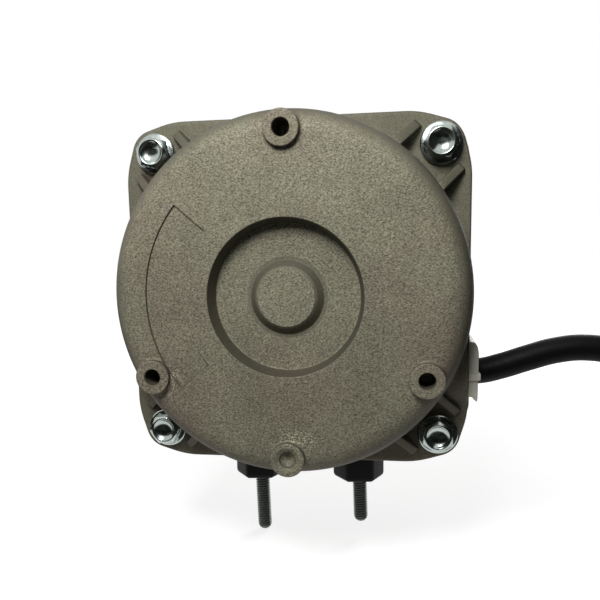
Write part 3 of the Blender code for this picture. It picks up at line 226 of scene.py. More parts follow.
def revolve(name, profile, segments, matrix, close=False):
    """Mesh of a profile of (radius, along) in millimetres, turned about the matrix's +Z axis."""
    angles = np.linspace(0.0, math.tau, segments, endpoint=False)
    vertices = []
    faces = []
    rings = []
    for radius, along in profile:
        if radius < 1e-6:
            rings.append([len(vertices)])
            vertices.append((0.0, 0.0, along * MM))
        else:
            rings.append(list(range(len(vertices), len(vertices) + segments)))
            vertices += [(radius * MM * math.cos(a), radius * MM * math.sin(a), along * MM) for a in angles]
    pairs = list(zip(rings, rings[1:]))
    if close:
        pairs.append((rings[-1], rings[0]))
    for lower, upper in pairs:
        for i in range(segments):
            j = (i + 1) % segments
            face = []
            for ring, step in ((lower, i), (lower, j), (upper, j), (upper, i)):
                index = ring[step % len(ring)]
                if index not in face:
                    face.append(index)
            if len(face) > 2:
                faces.append(face)
    return mesh_from(name, vertices, faces, matrix)


def grid_faces(rows, count):
    """Faces between neighbouring closed rows of count points each."""
    faces = []
    for base in range(0, (rows - 1) * count, count):
        for i in range(count):
            j = (i + 1) % count
            faces.append((base + i, base + count + i, base + count + j, base + j))
    return faces


def arc_points(centre, radius, start, end, steps):
    cx, cy = centre
    angles = np.radians(np.linspace(start, end, steps + 1))
    return [(cx + radius * math.cos(a), cy + radius * math.sin(a)) for a in angles]


def join_meshes(name, meshes):
    form = bmesh.new()
    for mesh in meshes:
        form.from_mesh(mesh)
    joined = bpy.data.meshes.new(name)
    form.to_mesh(joined)
    form.free()
    for mesh in meshes:
        bpy.data.meshes.remove(mesh)
    return joined


def smooth_min(a, b, k):
    h = np.maximum(k - np.abs(a - b), 0.0) / k
    return np.minimum(a, b) - h * h * k * 0.25


def smooth_max(a, b, k):
    return -smooth_min(-a, -b, k)


def round_max(a, b, radius):
    """Common part of two shapes, with an edge of the given radius."""
    u = np.maximum(a + radius, 0.0)
    v = np.maximum(b + radius, 0.0)
    return np.minimum(-radius, np.maximum(a, b)) + np.hypot(u, v)


def outline_distance(x, h, lug):
    """Square with tapered corners that round each cover screw."""
    x = np.abs(x - OUTLINE_SHIFT)
    a = np.maximum(x, np.abs(h))
    b = np.minimum(x, np.abs(h))
    pa = a - SCREW
    pb = b - SCREW
    taper = pa * math.cos(TAPER) + pb * math.sin(TAPER) - lug
    straight = smooth_max(a - HALF, taper, 1.0)
    angle = np.arctan2(pb, pa)
    return np.where((angle > TAPER) & (angle < math.pi / 2), np.hypot(pa, pb) - lug, straight)


def crown_depth(r):
    """Depth of the conical face outside the recess."""
    return CROWN * np.clip(r - RECESS_R, 0.0, None) / (CROWN_END - RECESS_R)


def rear_cover_distance(p):
    """Dome, flange, bosses and cord port, down to the joint with the front cover."""
    x, d, h = p[:, 0], p[:, 1], p[:, 2]
    r = np.hypot(x, h)
    cover = round_max(np.hypot(x + 0.2, h) - DOME_R, crown_depth(r) - d, DOME_ROUND)
    plate = round_max(outline_distance(x, h, REAR_LUG), FLANGE_FACE - d, 0.6)
    corner = np.clip((np.minimum(np.abs(x), np.abs(h)) - 16.0) / 14.0, 0.0, 1.0)
    cover = smooth_min(cover, plate, 1.2 + 1.6 * corner)
    for cx, ch, _ in BOSSES:
        boss = round_max(np.hypot(x - cx, h - ch) - BOSS_R + 0.05, BOSS_FACE + 0.06 - d, 0.5)
        cover = smooth_min(cover, boss, 0.6)
    port = round_max(np.hypot(h - PORT_HEIGHT, d - 22.0) - PORT_R, x - 41.35, 0.5)
    cover = smooth_min(cover, np.maximum(port, 25.0 - x), 1.4)
    return round_max(cover, d - COVER_JOINT, 0.3)


def front_cover_distance(p):
    """Square block, hub and four bosses, from the joint with the rear cover."""
    x, d, h = p[:, 0], p[:, 1], p[:, 2]
    r = np.hypot(x, h)
    cover = round_max(outline_distance(x, h, FRONT_LUG), d - FRONT_FACE, 2.2)
    cover = smooth_min(cover, round_max(r - FRONT_HUB_R, d - FRONT_HUB_FACE, 0.8), 1.6)
    for cx, ch in FRONT_BOSSES:
        boss = round_max(np.hypot(x - cx, h - ch) - BOSS_R, d - FRONT_BOSS_FACE, 0.3)
        cover = smooth_min(cover, boss, 0.9)
    return round_max(cover, COVER_JOINT + 0.2 - d, 0.3)


def project(points, distance, rounds=6):
    """Moves points onto the surface where the distance is zero."""
    step = 0.01
    for _ in range(rounds):
        value = distance(points)
        slope = np.empty_like(points)
        for axis in range(3):
            shift = np.zeros(3)
            shift[axis] = step
            slope[:, axis] = (distance(points + shift) - distance(points - shift)) / (2 * step)
        size = np.maximum((slope ** 2).sum(axis=1), 0.2)
        move = np.clip(value / size, -0.6, 0.6)
        points = points - slope * move[:, None]
    return points


def sculpt(name, rough, distance, voxel, keep):
    """Even mesh over rough closed shells, moved onto an exact rounded surface."""
    obj = add_object(name, join_meshes("rough", rough))
    remesh = obj.modifiers.new("Even mesh", "REMESH")
    remesh.mode = "VOXEL"
    remesh.voxel_size = voxel * MM
    mesh = evaluated_mesh(obj)
    bpy.data.objects.remove(obj)
    points = project(millimetre_rows(mesh.vertices, "co"), distance)
    mesh.vertices.foreach_set("co", to_frame(points).astype(np.float32).ravel())
    mesh.update()
    drop = np.nonzero(~keep(millimetre_rows(mesh.polygons, "center")))[0]
    form = bmesh.new()
    form.from_mesh(mesh)
    form.faces.ensure_lookup_table()
    bmesh.ops.delete(form, geom=[form.faces[i] for i in drop], context="FACES")
    form.to_mesh(mesh)
    form.free()
    mesh.name = name
    return mesh


def prism(name, outline, low, high, matrix):
    """Closed prism over an outline of (x, y), from low to high along Z, in millimetres."""
    count = len(outline)
    vertices = [(x * MM, y * MM, z * MM) for z in (low, high) for x, y in outline]
    faces = [list(range(count))[::-1], list(range(count, 2 * count))]
    faces += [[i, (i + 1) % count, count + (i + 1) % count, count + i] for i in range(count)]
    return mesh_from(name, vertices, faces, matrix)


def body_outline(lug):
    reach = SCREW * (math.cos(TAPER) + math.sin(TAPER)) + lug
    side = (reach - HALF * math.cos(TAPER)) / math.sin(TAPER)
    corner = [(HALF, side)]
    corner += arc_points((SCREW, SCREW), lug, math.degrees(TAPER), 90.0 - math.degrees(TAPER), 8)
    corner.append((side, HALF))
    points = []
    for quarter in range(4):
        a = math.radians(90.0 * quarter)
        points += [(x * math.cos(a) - y * math.sin(a), x * math.sin(a) + y * math.cos(a)) for x, y in corner]
    return [(x + OUTLINE_SHIFT, y) for x, y in points]


def rib_mesh(turn, side):
    """Gusset beside a cover screw, lower and narrower towards its blunt outer end."""
    form = bmesh.new()
    corners = []
    for along, half, depth in ((38.0, 1.4, 17.4), (48.7, 1.3, 17.4), (38.0, 1.05, 9.0), (48.2, 1.0, 15.5)):
        for across in (-half, half):
            place = (along * MM, (side * RIB_OFFSET + across) * MM, -depth * MM)
            corners.append(form.verts.new(place))
    for face in ((0, 1, 3, 2), (4, 6, 7, 5), (0, 4, 5, 1), (2, 3, 7, 6), (0, 2, 6, 4), (1, 5, 7, 3)):
        form.faces.new([corners[i] for i in face])
    bmesh.ops.recalc_face_normals(form, faces=form.faces)
    bmesh.ops.bevel(form, geom=list(form.edges), offset=0.28 * MM, segments=3, affect="EDGES", profile=0.5)
    mesh = bpy.data.meshes.new("rib")
    form.to_mesh(mesh)
    form.free()
    mesh.transform(rearward() @ Matrix.Rotation(turn, 4, "Z"))
    return mesh


def rounded_profile(corners, steps=4, support=0.12):
    """Profile through (x, y, radius) corners, each rounded by its radius and held straight beside it."""
    out = [corners[0][:2]]
    for (ax, ay, _), (bx, by, radius), (cx, cy, _) in zip(corners, corners[1:], corners[2:]):
        back = Vector((ax - bx, ay - by)).normalized()
        ahead = Vector((cx - bx, cy - by)).normalized()
        half = back.angle(ahead) / 2
        reach = radius / math.tan(half)
        centre = Vector((bx, by)) + (back + ahead).normalized() * (radius / math.sin(half))
        first = Vector((bx, by)) + back * reach - centre
        turn = Vector((bx, by)) + ahead * reach - centre
        angle = math.atan2(first.x * turn.y - first.y * turn.x, first.dot(turn))
        out.append(tuple(centre + first + back * support))
        for step in range(steps + 1):
            out.append(tuple(centre + Matrix.Rotation(angle * step / steps, 2) @ first))
        out.append(tuple(centre + turn + ahead * support))
    return out + [corners[-1][:2]]


def disc_mesh():
    """Hub, recess and conical face, with the shallow blank field sunk in the face."""
    profile = rounded_profile((
        (0.0, HUB_D, 0.0), (6.56, HUB_D, 0.2), (8.5, RECESS_D, 0.3), (RECESS_R - 1.1, RECESS_D, 0.35),
        (RECESS_R, 0.0, 0.22), (RECESS_R + 1.0, crown_depth(RECESS_R + 1.0), 0.0),
    ))
    inner, outer = FIELD_RADII
    edges = [20.5]
    for radius in FIELD_RADII:
        edges += [radius - 0.3, radius - 0.09, radius + 0.09, radius + 0.3]
    radii = sorted(edges + [26.5, 29.5, DISC_R])
    angles = [np.arange(240) * math.tau / 240]
    for angle in FIELD_ANGLES:
        angles.append(np.radians(angle + np.array((-0.5, -0.18, 0.18, 0.5))))
    angles = np.sort(np.concatenate(angles))
    low, high = np.radians(FIELD_ANGLES)
    inside = (angles > low) & (angles < high)
    rows = [(r, -d) for r, d in profile[1:]]
    for radius in radii:
        sunk = FIELD_D * inside if inner < radius < outer else 0.0
        rows.append((radius, 0.012 - crown_depth(radius) - sunk))
    rows.append((DISC_R, -crown_depth(DISC_R) - 0.4))
    mesh = polar_mesh("disc", rows, angles, centre=-HUB_D)
    mesh.transform(rearward())
    return mesh


def boss_mesh(x, height, hole):
    """Turned boss: rounded rim, hole with a small lead-in, and a shallow cone in the lowest boss."""
    if (x, height) == LOW_BOSS:
        inner = [(2.9, 0.0, 0.1), (1.95, -0.55, 0.1), (hole, -0.95, 0.1), (0.0, -2.5, 0.0)]
    else:
        inner = [(hole + 0.2, 0.0, 0.05), (hole, -0.3, 0.1), (hole - 0.08, -7.6, 0.2), (0.0, -8.8, 0.0)]
    profile = rounded_profile([(BOSS_R + 0.012, -6.8, 0.0), (BOSS_R + 0.012, 0.0, 0.28)] + inner)
    return revolve("lip", profile, 64, rearward(x, BOSS_FACE, height))


def rear_cover_mesh(voxel):
    side = DOME_R - DOME_ROUND
    shell = [(0, 0), (RECESS_R, 0), (side, -CROWN)]
    shell += arc_points((side, -CROWN - DOME_ROUND), DOME_ROUND, 90.0, 0.0, 8)[1:]
    shell += [(DOME_R, UNDERSIDE), (0, UNDERSIDE)]
    post = [(0, 0), (BOSS_R, 0), (BOSS_R, -12), (0, -12)]
    rough = [revolve("dome", shell, 180, rearward())]
    rough.append(prism("plate", body_outline(REAR_LUG), UNDERSIDE, -16.9, rearward()))
    rough += [revolve("boss", post, 40, rearward(cx, BOSS_FACE, ch)) for cx, ch, _ in BOSSES]
    _, level, height = to_frame((0.0, -UNDERSIDE, PORT_HEIGHT))
    sideways = Matrix(((0, 0, 1, 0), (0, -1, 0, level), (1, 0, 0, height), (0, 0, 0, 1)))
    rough.append(prism("port", arc_points((0.0, 0.0), PORT_R, 0.0, 180.0, 24), 28.0, 41.7, sideways))

    def keep(c):
        """All but the open underside, the holes, and the middle that the disc fills."""
        bottom = c[:, 1] > 21.75
        middle = (np.hypot(c[:, 0], c[:, 2]) < DISC_R - 0.4) & (c[:, 1] < 8.0)
        holes = np.zeros(len(c), dtype=bool)
        for cx, ch, hole in BOSSES:
            holes |= (np.hypot(c[:, 0] - cx, c[:, 2] - ch) < hole + 1.2) & (c[:, 1] < 1.0)
        inner = np.abs(outline_distance(c[:, 0], c[:, 2], REAR_LUG)) > 0.6
        return ~((bottom & inner) | holes | middle)

    pieces = [sculpt("rear_cover", rough, rear_cover_distance, voxel, keep), disc_mesh()]
    pieces += [boss_mesh(*boss) for boss in BOSSES]
    for quarter in range(4):
        pieces += [rib_mesh(math.radians(45.0 + 90.0 * quarter), side) for side in (-1, 1)]
    return join_meshes("rear_cover_cast", pieces)


def front_cover_mesh(voxel):
    hub = [(0, -65.9), (FRONT_HUB_R, -65.9), (FRONT_HUB_R, -58), (0, -58)]
    post = [(0, 0.8), (BOSS_R, 0.8), (BOSS_R, -4), (0, -4)]
    rough = [prism("block", body_outline(FRONT_LUG), -61.9, -22.2, rearward())]
    rough.append(revolve("hub", hub, 96, rearward()))
    rough += [revolve("boss", post, 40, frontward(cx, FRONT_FACE, ch)) for cx, ch in FRONT_BOSSES]

    def keep(c):
        """All but the open rear side, the holes and the shaft's way out."""
        rear = (c[:, 1] < 22.35) & (np.abs(outline_distance(c[:, 0], c[:, 2], FRONT_LUG)) > 0.8)
        shaft = (np.hypot(c[:, 0], c[:, 2]) < 4.4) & (c[:, 1] > 65.0)
        holes = np.zeros(len(c), dtype=bool)
        for cx, ch in FRONT_BOSSES:
            holes |= (np.hypot(c[:, 0] - cx, c[:, 2] - ch) < 2.5) & (c[:, 1] > FRONT_FACE)
        return ~(rear | shaft | holes)

    pieces = [sculpt("front_cover", rough, front_cover_distance, voxel, keep)]
    hole = [(2.9, 0.012), (2.4, 0.012), (2.1, -0.06), (1.9, -0.2), (1.85, -0.4), (1.8, -7.6), (0, -8.4)]
    pieces += [revolve("lip", hole, 48, frontward(cx, FRONT_BOSS_FACE, ch)) for cx, ch in FRONT_BOSSES]
    hole = [(5.0, 0.012), (4.2, 0.012), (3.9, -0.1), (3.6, -0.4), (3.5, -0.8), (3.5, -7.0), (3.2, -7.2)]
    pieces.append(revolve("lip", hole, 64, frontward(0.0, FRONT_HUB_FACE, 0.0)))
    return join_meshes("front_cover_cast", pieces)


def hexagon_radii(angles, across_flats):
    """Distance from the centre to a hexagon's side, its flats facing 30, 90 and so on degrees."""
    return across_flats / 2 / np.cos((angles % (math.pi / 3)) - math.pi / 6)


def polar_mesh(name, rows, angles, centre=None, last=None):
    """Rows of (radii, height) in millimetres round the Z axis, with a first and last centre point."""
    count = len(angles)
    vertices = []
    for radii, height in rows:
        across = np.broadcast_to(radii, (count,))
        levels = np.broadcast_to(height, (count,))
        for r, level, a in zip(across, levels, angles):
            vertices.append((r * math.cos(a) * MM, r * math.sin(a) * MM, level * MM))
    faces = grid_faces(len(rows), count)
    for point, base in ((centre, 0), (last, (len(rows) - 1) * count)):
        if point is not None:
            vertices.append((0.0, 0.0, point * MM))
            faces += [(len(vertices) - 1, base + i, base + (i + 1) % count) for i in range(count)]
    return mesh_from(name, vertices, faces)


def screw_mesh(across_flats, dish_radius, dish_depth):
    """Hex washer head on the origin, its underside at Z = 0 and its head towards +Z."""
    angles = np.arange(96) * math.tau / 96
    sides = hexagon_radii(angles, across_flats)
    top = 4.0
    rows = []
    for share in (0.22, 0.42, 0.6, 0.76, 0.88, 0.96, 1.0):
        rows.append((share * dish_radius, top - dish_depth * (1.0 - share ** 3)))
    rim = dish_radius + 0.12
    rows += [(rim, top + 0.03), (rim + 0.1, top + 0.04), (rim + 0.22, top + 0.01), (rim + 0.32, top - 0.05)]
    for down in (0.11, 0.18, 0.26, 0.34, 0.42, 0.5, 0.6):
        rows.append((np.minimum(sides, rim + 0.32 + (down - 0.05) * 1.73), top - down))
    rows += [(sides, 3.0), (sides, 2.0), (sides, 1.3), (sides + 0.07, 1.15), (sides * 0.5 + 2.15, 1.06)]
    rows += [(4.45, 1.0), (4.74, 0.9), (4.87, 0.76), (4.9, 0.6)]
    rows += [(4.9, 0.3), (4.86, 0.12), (4.72, 0.02), (2.5, 0.0)]
    head = polar_mesh("head", rows, angles, centre=top - dish_depth)
    outline = [(-0.85, -0.11), (0.85, -0.11), (0.85, 0.11), (-0.85, 0.11)]
    low = top - dish_depth - 0.1
    dash = prism("dash", outline, low, low + 0.32, Matrix.Rotation(math.radians(12.0), 4, "Z"))
    return join_meshes("cover_screw_form", [head, dash])


def thread_mesh(name, length, top, major, pitch, place):
    """Vertical stud with a rounded tip at -length, threaded all the way to Z = top, in millimetres."""
    angles = np.arange(48) * math.tau / 48
    step = pitch / 10
    minor = major - 0.61 * pitch
    tip = 1.9
    rows = []
    for index in range(int(round((length + top) / step)) + 1):
        height = index * step - length
        phase = (height / pitch - angles / math.tau) % 1.0
        ridge = np.clip(1.25 - np.abs(phase - 0.5) * 2.9, 0.0, 1.0)
        radii = minor + (major - minor) * ridge
        up = height + length
        if up < tip:
            radii = np.minimum(radii, 0.02 + 0.98 * major * math.sqrt(1.0 - (1.0 - up / tip) ** 2))
        rows.append((radii, height))
    mesh = polar_mesh(name, rows, angles, centre=-length, last=top)
    mesh.transform(place)
    return mesh


def foot_mesh(name, place):
    """Hexagonal spacer with rounded corners and a rounded lower edge, round the stud's hole."""
    corner = 1.3
    bottom_round = 1.3
    apothem = 6.35
    height = 11.4
    centre_radius = (apothem - corner) / math.cos(math.pi / 6)

    def outline(inset):
        points = []
        for index in range(6):
            middle = math.radians(8.0 + 60.0 * index)
            cx = centre_radius * math.cos(middle)
            cy = centre_radius * math.sin(middle)
            for a in np.linspace(middle - math.pi / 6, middle + math.pi / 6, 9):
                points.append((cx + (corner - inset) * math.cos(a), cy + (corner - inset) * math.sin(a)))
        return points

    hole = 2.2
    whole = outline(0.0)
    ring = [(hole * x / math.hypot(x, y), hole * y / math.hypot(x, y)) for x, y in whole]
    rows = [(ring, 2.0), (ring, 0.1)]
    for a in np.radians(np.linspace(0.0, 90.0, 8)):
        rows.append((outline(bottom_round * (1.0 - math.sin(a)) * 0.98), bottom_round * (1.0 - math.cos(a))))
    rows += [(whole, height - 0.3), (outline(0.25), height), (ring, height)]
    vertices = [(x * MM, y * MM, level * MM) for points, level in rows for x, y in points]
    return mesh_from(name, vertices, grid_faces(len(rows), len(whole)), place)


def bush_mesh(cord_radius):
    """Moulded bush seen from behind: rounded top, ridge across the middle and a pointed lower lip."""
    outline = [(41.4, -11.6), (42.3, -11.5), (43.1, -11.9), (43.6, -12.9), (43.8, -14.2)]
    outline += [(43.8, -18.9), (44.35, -19.3), (44.35, -20.5), (43.75, -20.9), (43.7, -25.0), (43.6, -26.1)]
    outline += [(42.8, -25.5), (42.5, -24.9), (41.4, -24.8)]
    half_width = 7.6
    upright = Matrix(((1, 0, 0, 0), (0, 0, 1, 0), (0, 1, 0, 0), (0, 0, 0, 1)))
    place = Matrix.Translation((0.0, CABLE_Y, SHAFT_HEIGHT)) @ upright
    obj = add_object("cable_bush_rough", prism("cable_bush", outline, -half_width, half_width, place))
    bevel = obj.modifiers.new("Soft edges", "BEVEL")
    bevel.width = 0.45 * MM
    bevel.segments = 4
    bevel.limit_method = "ANGLE"
    bevel.angle_limit = math.radians(40.0)
    along_x = Matrix.Translation((38.0 * MM, CABLE_Y, CABLE_HEIGHT)) @ Matrix.Rotation(math.pi / 2, 4, "Y")
    hole = [(0.0, -2.0), (cord_radius, -2.0), (cord_radius, 9.0), (0.0, 9.0)]
    cutter = add_object("cable_bush_hole", revolve("hole", hole, 48, along_x))
    cut = obj.modifiers.new("Cord hole", "BOOLEAN")
    cut.operation = "DIFFERENCE"
    cut.object = cutter
    pieces = [evaluated_mesh(obj)]
    bpy.data.objects.remove(obj)
    bpy.data.objects.remove(cutter)
    neck = [(cord_radius, 0.0), (5.9, 0.0), (6.2, 0.3), (6.2, 3.95), (cord_radius, 3.95)]
    pieces.append(revolve("neck", neck, 64, along_x, close=True))
    strip = [(41.5, -19.0), (44.2, -19.2), (44.2, -20.6), (41.5, -20.8)]
    for low, high in ((-half_width - 0.6, -half_width + 0.4), (half_width - 0.4, half_width + 0.6)):
        pieces.append(prism("strip", strip, low, high, place))
    return join_meshes("cable_bush", pieces)


def coil_point(angle, radius):
    a = math.radians(angle)
    return (COIL_CENTRE[0] + radius * math.cos(a), COIL_CENTRE[1] + radius * math.sin(a), COIL_LEVEL)


def cord_points():
    points = [(x * MM, CABLE_Y, z * MM) for x, z in CORD_ROUTE]
    steps = 40
    for step in range(steps + 1):
        share = step / steps
        angle = COIL_SWEEP[0] + (COIL_SWEEP[1] - COIL_SWEEP[0]) * share
        radius = COIL_RADII[0] + (COIL_RADII[1] - COIL_RADII[0]) * share
        points.append(coil_point(angle, radius))
    return points


def wire_object(name, points, diameter, material, sides=4):
    """Round wire through the points, as one Bezier curve."""
    curve = bpy.data.curves.new(name, "CURVE")
    curve.dimensions = "3D"
    curve.bevel_depth = diameter / 2
    curve.bevel_resolution = sides
    curve.use_fill_caps = True
    curve.resolution_u = 8
    spline = curve.splines.new("BEZIER")
    spline.bezier_points.add(len(points) - 1)
    for point, place in zip(spline.bezier_points, points):
        point.co = place
        point.handle_left_type = "AUTO"
        point.handle_right_type = "AUTO"
    return add_object(name, curve, material)


# Finishes, all procedural on object coordinates


class Shading:
    """Builds one Principled material node by node; its methods take sockets or numbers."""

    def __init__(self, name):
        self.material = bpy.data.materials.new(name)
        self.material.use_nodes = True
        self.tree = self.material.node_tree
        self.shader = self.tree.nodes["Principled BSDF"]
        self.coordinates = self.node("ShaderNodeTexCoord").outputs
        self.place = self.coordinates["Object"]

    def node(self, kind, **values):
        node = self.tree.nodes.new(kind)
        for key, value in values.items():
            setattr(node, key, value)
        return node

    def link(self, source, target):
        self.tree.links.new(source, target)

    def axes(self, vector):
        """The X, Y and Z sockets of a vector."""
        node = self.node("ShaderNodeSeparateXYZ")
        self.link(vector, node.inputs["Vector"])
        return [node.outputs[key] for key in "XYZ"]

    def noise(self, scale, detail=2.0, roughness=0.5, place=None):
        node = self.node("ShaderNodeTexNoise")
        node.inputs["Scale"].default_value = scale
        node.inputs["Detail"].default_value = detail
        node.inputs["Roughness"].default_value = roughness
        self.link(place or self.place, node.inputs["Vector"])
        return node.outputs["Fac"]

    def spread(self, value, low, high, out_low=0.0, out_high=1.0):
        node = self.node("ShaderNodeMapRange")
        self.link(value, node.inputs["Value"])
        for key, number in (("From Min", low), ("From Max", high), ("To Min", out_low), ("To Max", out_high)):
            node.inputs[key].default_value = number
        return node.outputs["Result"]

    def math(self, operation, first, second=None):
        node = self.node("ShaderNodeMath", operation=operation)
        for socket, value in zip(node.inputs, (first, second)):
            if isinstance(value, (int, float)):
                socket.default_value = value
            elif value is not None:
                self.link(value, socket)
        return node.outputs["Value"]

    def times(self, first, second):
        return self.math("MULTIPLY", first, second)

    def fill(self, socket, value):
        """Links a socket to the input, or sets the number or colour on it."""
        if isinstance(value, bpy.types.NodeSocket):
            self.link(value, socket)
        elif isinstance(value, (int, float)):
            socket.default_value = value
        elif value is not None:
            socket.default_value = (*value[:3], 1.0)

    def scaled(self, colour, factor):
        """The colour times a factor that varies over the surface."""
        node = self.node("ShaderNodeVectorMath", operation="SCALE")
        if isinstance(colour, bpy.types.NodeSocket):
            self.link(colour, node.inputs[0])
        else:
            node.inputs[0].default_value = colour[:3]
        self.link(factor, node.inputs["Scale"])
        return node.outputs["Vector"]

    def mix(self, factor, first, second):
        node = self.node("ShaderNodeMix", data_type="RGBA")
        for index, value in ((0, factor), (6, first), (7, second)):
            self.fill(node.inputs[index], value)
        return node.outputs[2]

    def bump(self, height, strength, distance, below=None):
        node = self.node("ShaderNodeBump")
        node.inputs["Strength"].default_value = strength
        node.inputs["Distance"].default_value = distance
        self.link(height, node.inputs["Height"])
        if below is not None:
            self.link(below, node.inputs["Normal"])
        return node.outputs["Normal"]

    def finish(self, plain, colour, roughness, metallic, normal=None):
        """Fills the shader's inputs; plain is the colour, roughness and metallic of the viewport."""
        inputs = self.shader.inputs
        self.fill(inputs["Base Color"], colour)
        self.fill(inputs["Roughness"], roughness)
        self.fill(inputs["Metallic"], metallic)
        self.fill(inputs["Normal"], normal)
        return plain_colour(self.material, *plain)


def plain_colour(material, colour, roughness, metallic):
    material.diffuse_color = (*colour[:3], 1.0)
    material.roughness = roughness
    material.metallic = metallic
    return material


def cast_finish(slot, colour, grain):
    """Die-cast skin: sandy where it faces along the shaft, smoother on its walls, mottled. Its colour is
    darkened on the walls, partly as a darker skin and partly as painted shade.
    """
    s = Shading(f"{slot}_skin")
    x, y, z = s.axes(s.place)
    upward = s.math("SUBTRACT", z, SHAFT_HEIGHT)
    radius = s.math("SQRT", s.math("ADD", s.math("POWER", x, 2.0), s.math("POWER", upward, 2.0)))
    # Partly a darker skin, partly painted shade: the hub's cone and the band outside the dome are darkened
    # like walls
    hub_edge = s.spread(radius, 9.2 * MM, 9.6 * MM, 0.3, 0.0)
    ring = s.math("SUBTRACT", hub_edge, s.spread(radius, 7.0 * MM, 7.3 * MM, 0.3, 0.0))
    dull_and_shaded = s.math("ADD", ring, s.spread(radius, 42.3 * MM, 43.3 * MM, 0.0, 0.25))
    rear = s.spread(y, -2.0 * MM, 0.0, 1.0, 0.0)
    facing = s.math("ABSOLUTE", s.axes(s.coordinates["Normal"])[1])
    facing = s.math("SUBTRACT", facing, s.times(dull_and_shaded, rear))
    flat = s.spread(facing, 0.3, 0.9)
    stretched = s.node("ShaderNodeMapping")
    s.link(s.place, stretched.inputs["Vector"])
    stretched.inputs["Rotation"].default_value = (0.6, 0.4, 0.5)
    stretched.inputs["Scale"].default_value = (0.75, 1.0, 1.1)
    fine = s.noise(3000.0, 2.0, 0.6, stretched.outputs["Vector"])
    medium = s.noise(900.0, 2.0, 0.6)
    broad = s.noise(75.0, 3.0, 0.55)
    warm = s.noise(48.0)
    sandy = s.times(s.spread(facing, 0.6, 0.95), s.spread(y, -33.0 * MM, -26.0 * MM, 1.0, 0.5))
    speck = s.times(s.spread(fine, 0.3, 0.7, -0.55, 0.95), s.spread(sandy, 0.0, 1.0, 0.2, 1.0))
    shade = s.times(s.spread(broad, 0.3, 0.7, 0.88, 1.1), s.math("ADD", speck, 1.0))
    shade = s.times(shade, s.spread(medium, 0.3, 0.7, 0.95, 1.05))
    # Painted shade, partly also a darker skin: walls that turn away from the shaft's axis are darkened to 0.4
    # of the colour
    shade = s.times(shade, s.spread(flat, 0.0, 1.0, 0.4, 1.0))
    for centre, reach in RESIDUE:
        away = s.node("ShaderNodeVectorMath", operation="DISTANCE")
        s.link(s.place, away.inputs[0])
        away.inputs[1].default_value = centre
        near = s.spread(away.outputs["Value"], 0.35 * reach, reach, 1.0, 0.0)
        grains = s.spread(s.math("ADD", fine, s.times(near, 0.12)), 0.62, 0.68, 0.0, 0.8)
        shade = s.times(shade, s.math("ADD", s.times(grains, near), 1.0))
    warmer = (colour[0] * 1.02, colour[1] * 0.94, colour[2] * 0.97)
    tint = s.mix(s.spread(warm, 0.45, 0.65), colour, warmer)
    normal = s.bump(fine, 0.7, grain, s.bump(medium, 0.5, grain * 1.5))
    s.link(s.spread(sandy, 0.0, 1.0, 0.15, 0.9), normal.node.inputs["Strength"])
    s.shader.inputs["Specular IOR Level"].default_value = 0.2
    rough = s.spread(flat, 0.0, 1.0, 0.55, 0.65)
    metallic = s.spread(flat, 0.0, 1.0, 0.0, 0.1)
    return s.finish((colour, 0.6, 0.1), s.scaled(tint, shade), rough, metallic, normal)


def metal_finish(slot, colour, roughness, scale=900.0, streak=0.12, bump=0.0):
    """Clouded metal, with a bump where it is given a depth."""
    s = Shading(slot)
    cloud = s.noise(scale, 3.0)
    shade = s.spread(cloud, 0.3, 0.7, 1.0 - streak, 1.0 + streak * 0.5)
    rough = s.spread(cloud, 0.3, 0.7, roughness * 0.8, roughness * 1.25)
    normal = s.bump(cloud, 0.4, bump) if bump else None
    return s.finish((colour, roughness, 1.0), s.scaled(colour, shade), rough, 1.0, normal)


def plastic_finish(slot, colour, roughness, scale=400.0, grain=0.01 * MM, glow=0.0, shine=0.5):
    """Plastic or felt with a fine grain, and some light inside it where it is given a glow."""
    s = Shading(slot)
    s.shader.inputs["Specular IOR Level"].default_value = shine
    shade = s.spread(s.noise(scale, 3.0), 0.3, 0.7, 0.93, 1.05)
    fine = s.noise(scale * 5.0)
    rough = s.spread(fine, 0.3, 0.7, roughness * 0.9, roughness * 1.12)
    if glow:
        s.shader.inputs["Subsurface Weight"].default_value = glow
        s.shader.inputs["Subsurface Radius"].default_value = (2.0 * MM, 1.8 * MM, 1.2 * MM)
        s.shader.inputs["Subsurface Scale"].default_value = 1.0
    return s.finish((colour, roughness, 0.0), s.scaled(colour, shade), rough, 0.0, s.bump(fine, 0.5, grain))


def lamination_finish(slot, colour):
    """Sheet edges as fine lines along the shaft."""
    s = Shading(slot)
    wave = s.math("SINE", s.times(s.axes(s.place)[1], math.tau / (0.5 * MM)))
    shade = s.times(s.spread(wave, -1.0, 1.0, 0.75, 1.05), s.spread(s.noise(500.0, 3.0), 0.3, 0.7, 0.9, 1.08))
    return s.finish((colour, 0.45, 0.9), s.scaled(colour, shade), 0.45, 0.9, s.bump(wave, 0.5, 0.03 * MM))


def winding_finish(slot, colour):
    """Enamelled wire in layers, as ridges that cross every way, with painted shade darkening the grooves
    between them.
    """
    s = Shading(slot)
    wave = s.node("ShaderNodeTexWave", wave_type="BANDS", bands_direction="DIAGONAL")
    wave.inputs["Scale"].default_value = 1100.0
    wave.inputs["Distortion"].default_value = 1.2
    s.link(s.place, wave.inputs["Vector"])
    ridge = wave.outputs["Fac"]
    # Painted shade: the colour is darker where the ridges are low
    shade = s.spread(ridge, 0.0, 1.0, 0.6, 1.1)
    return s.finish((colour, 0.35, 0.5), s.scaled(colour, shade), 0.35, 0.5, s.bump(ridge, 0.6, 0.1 * MM))


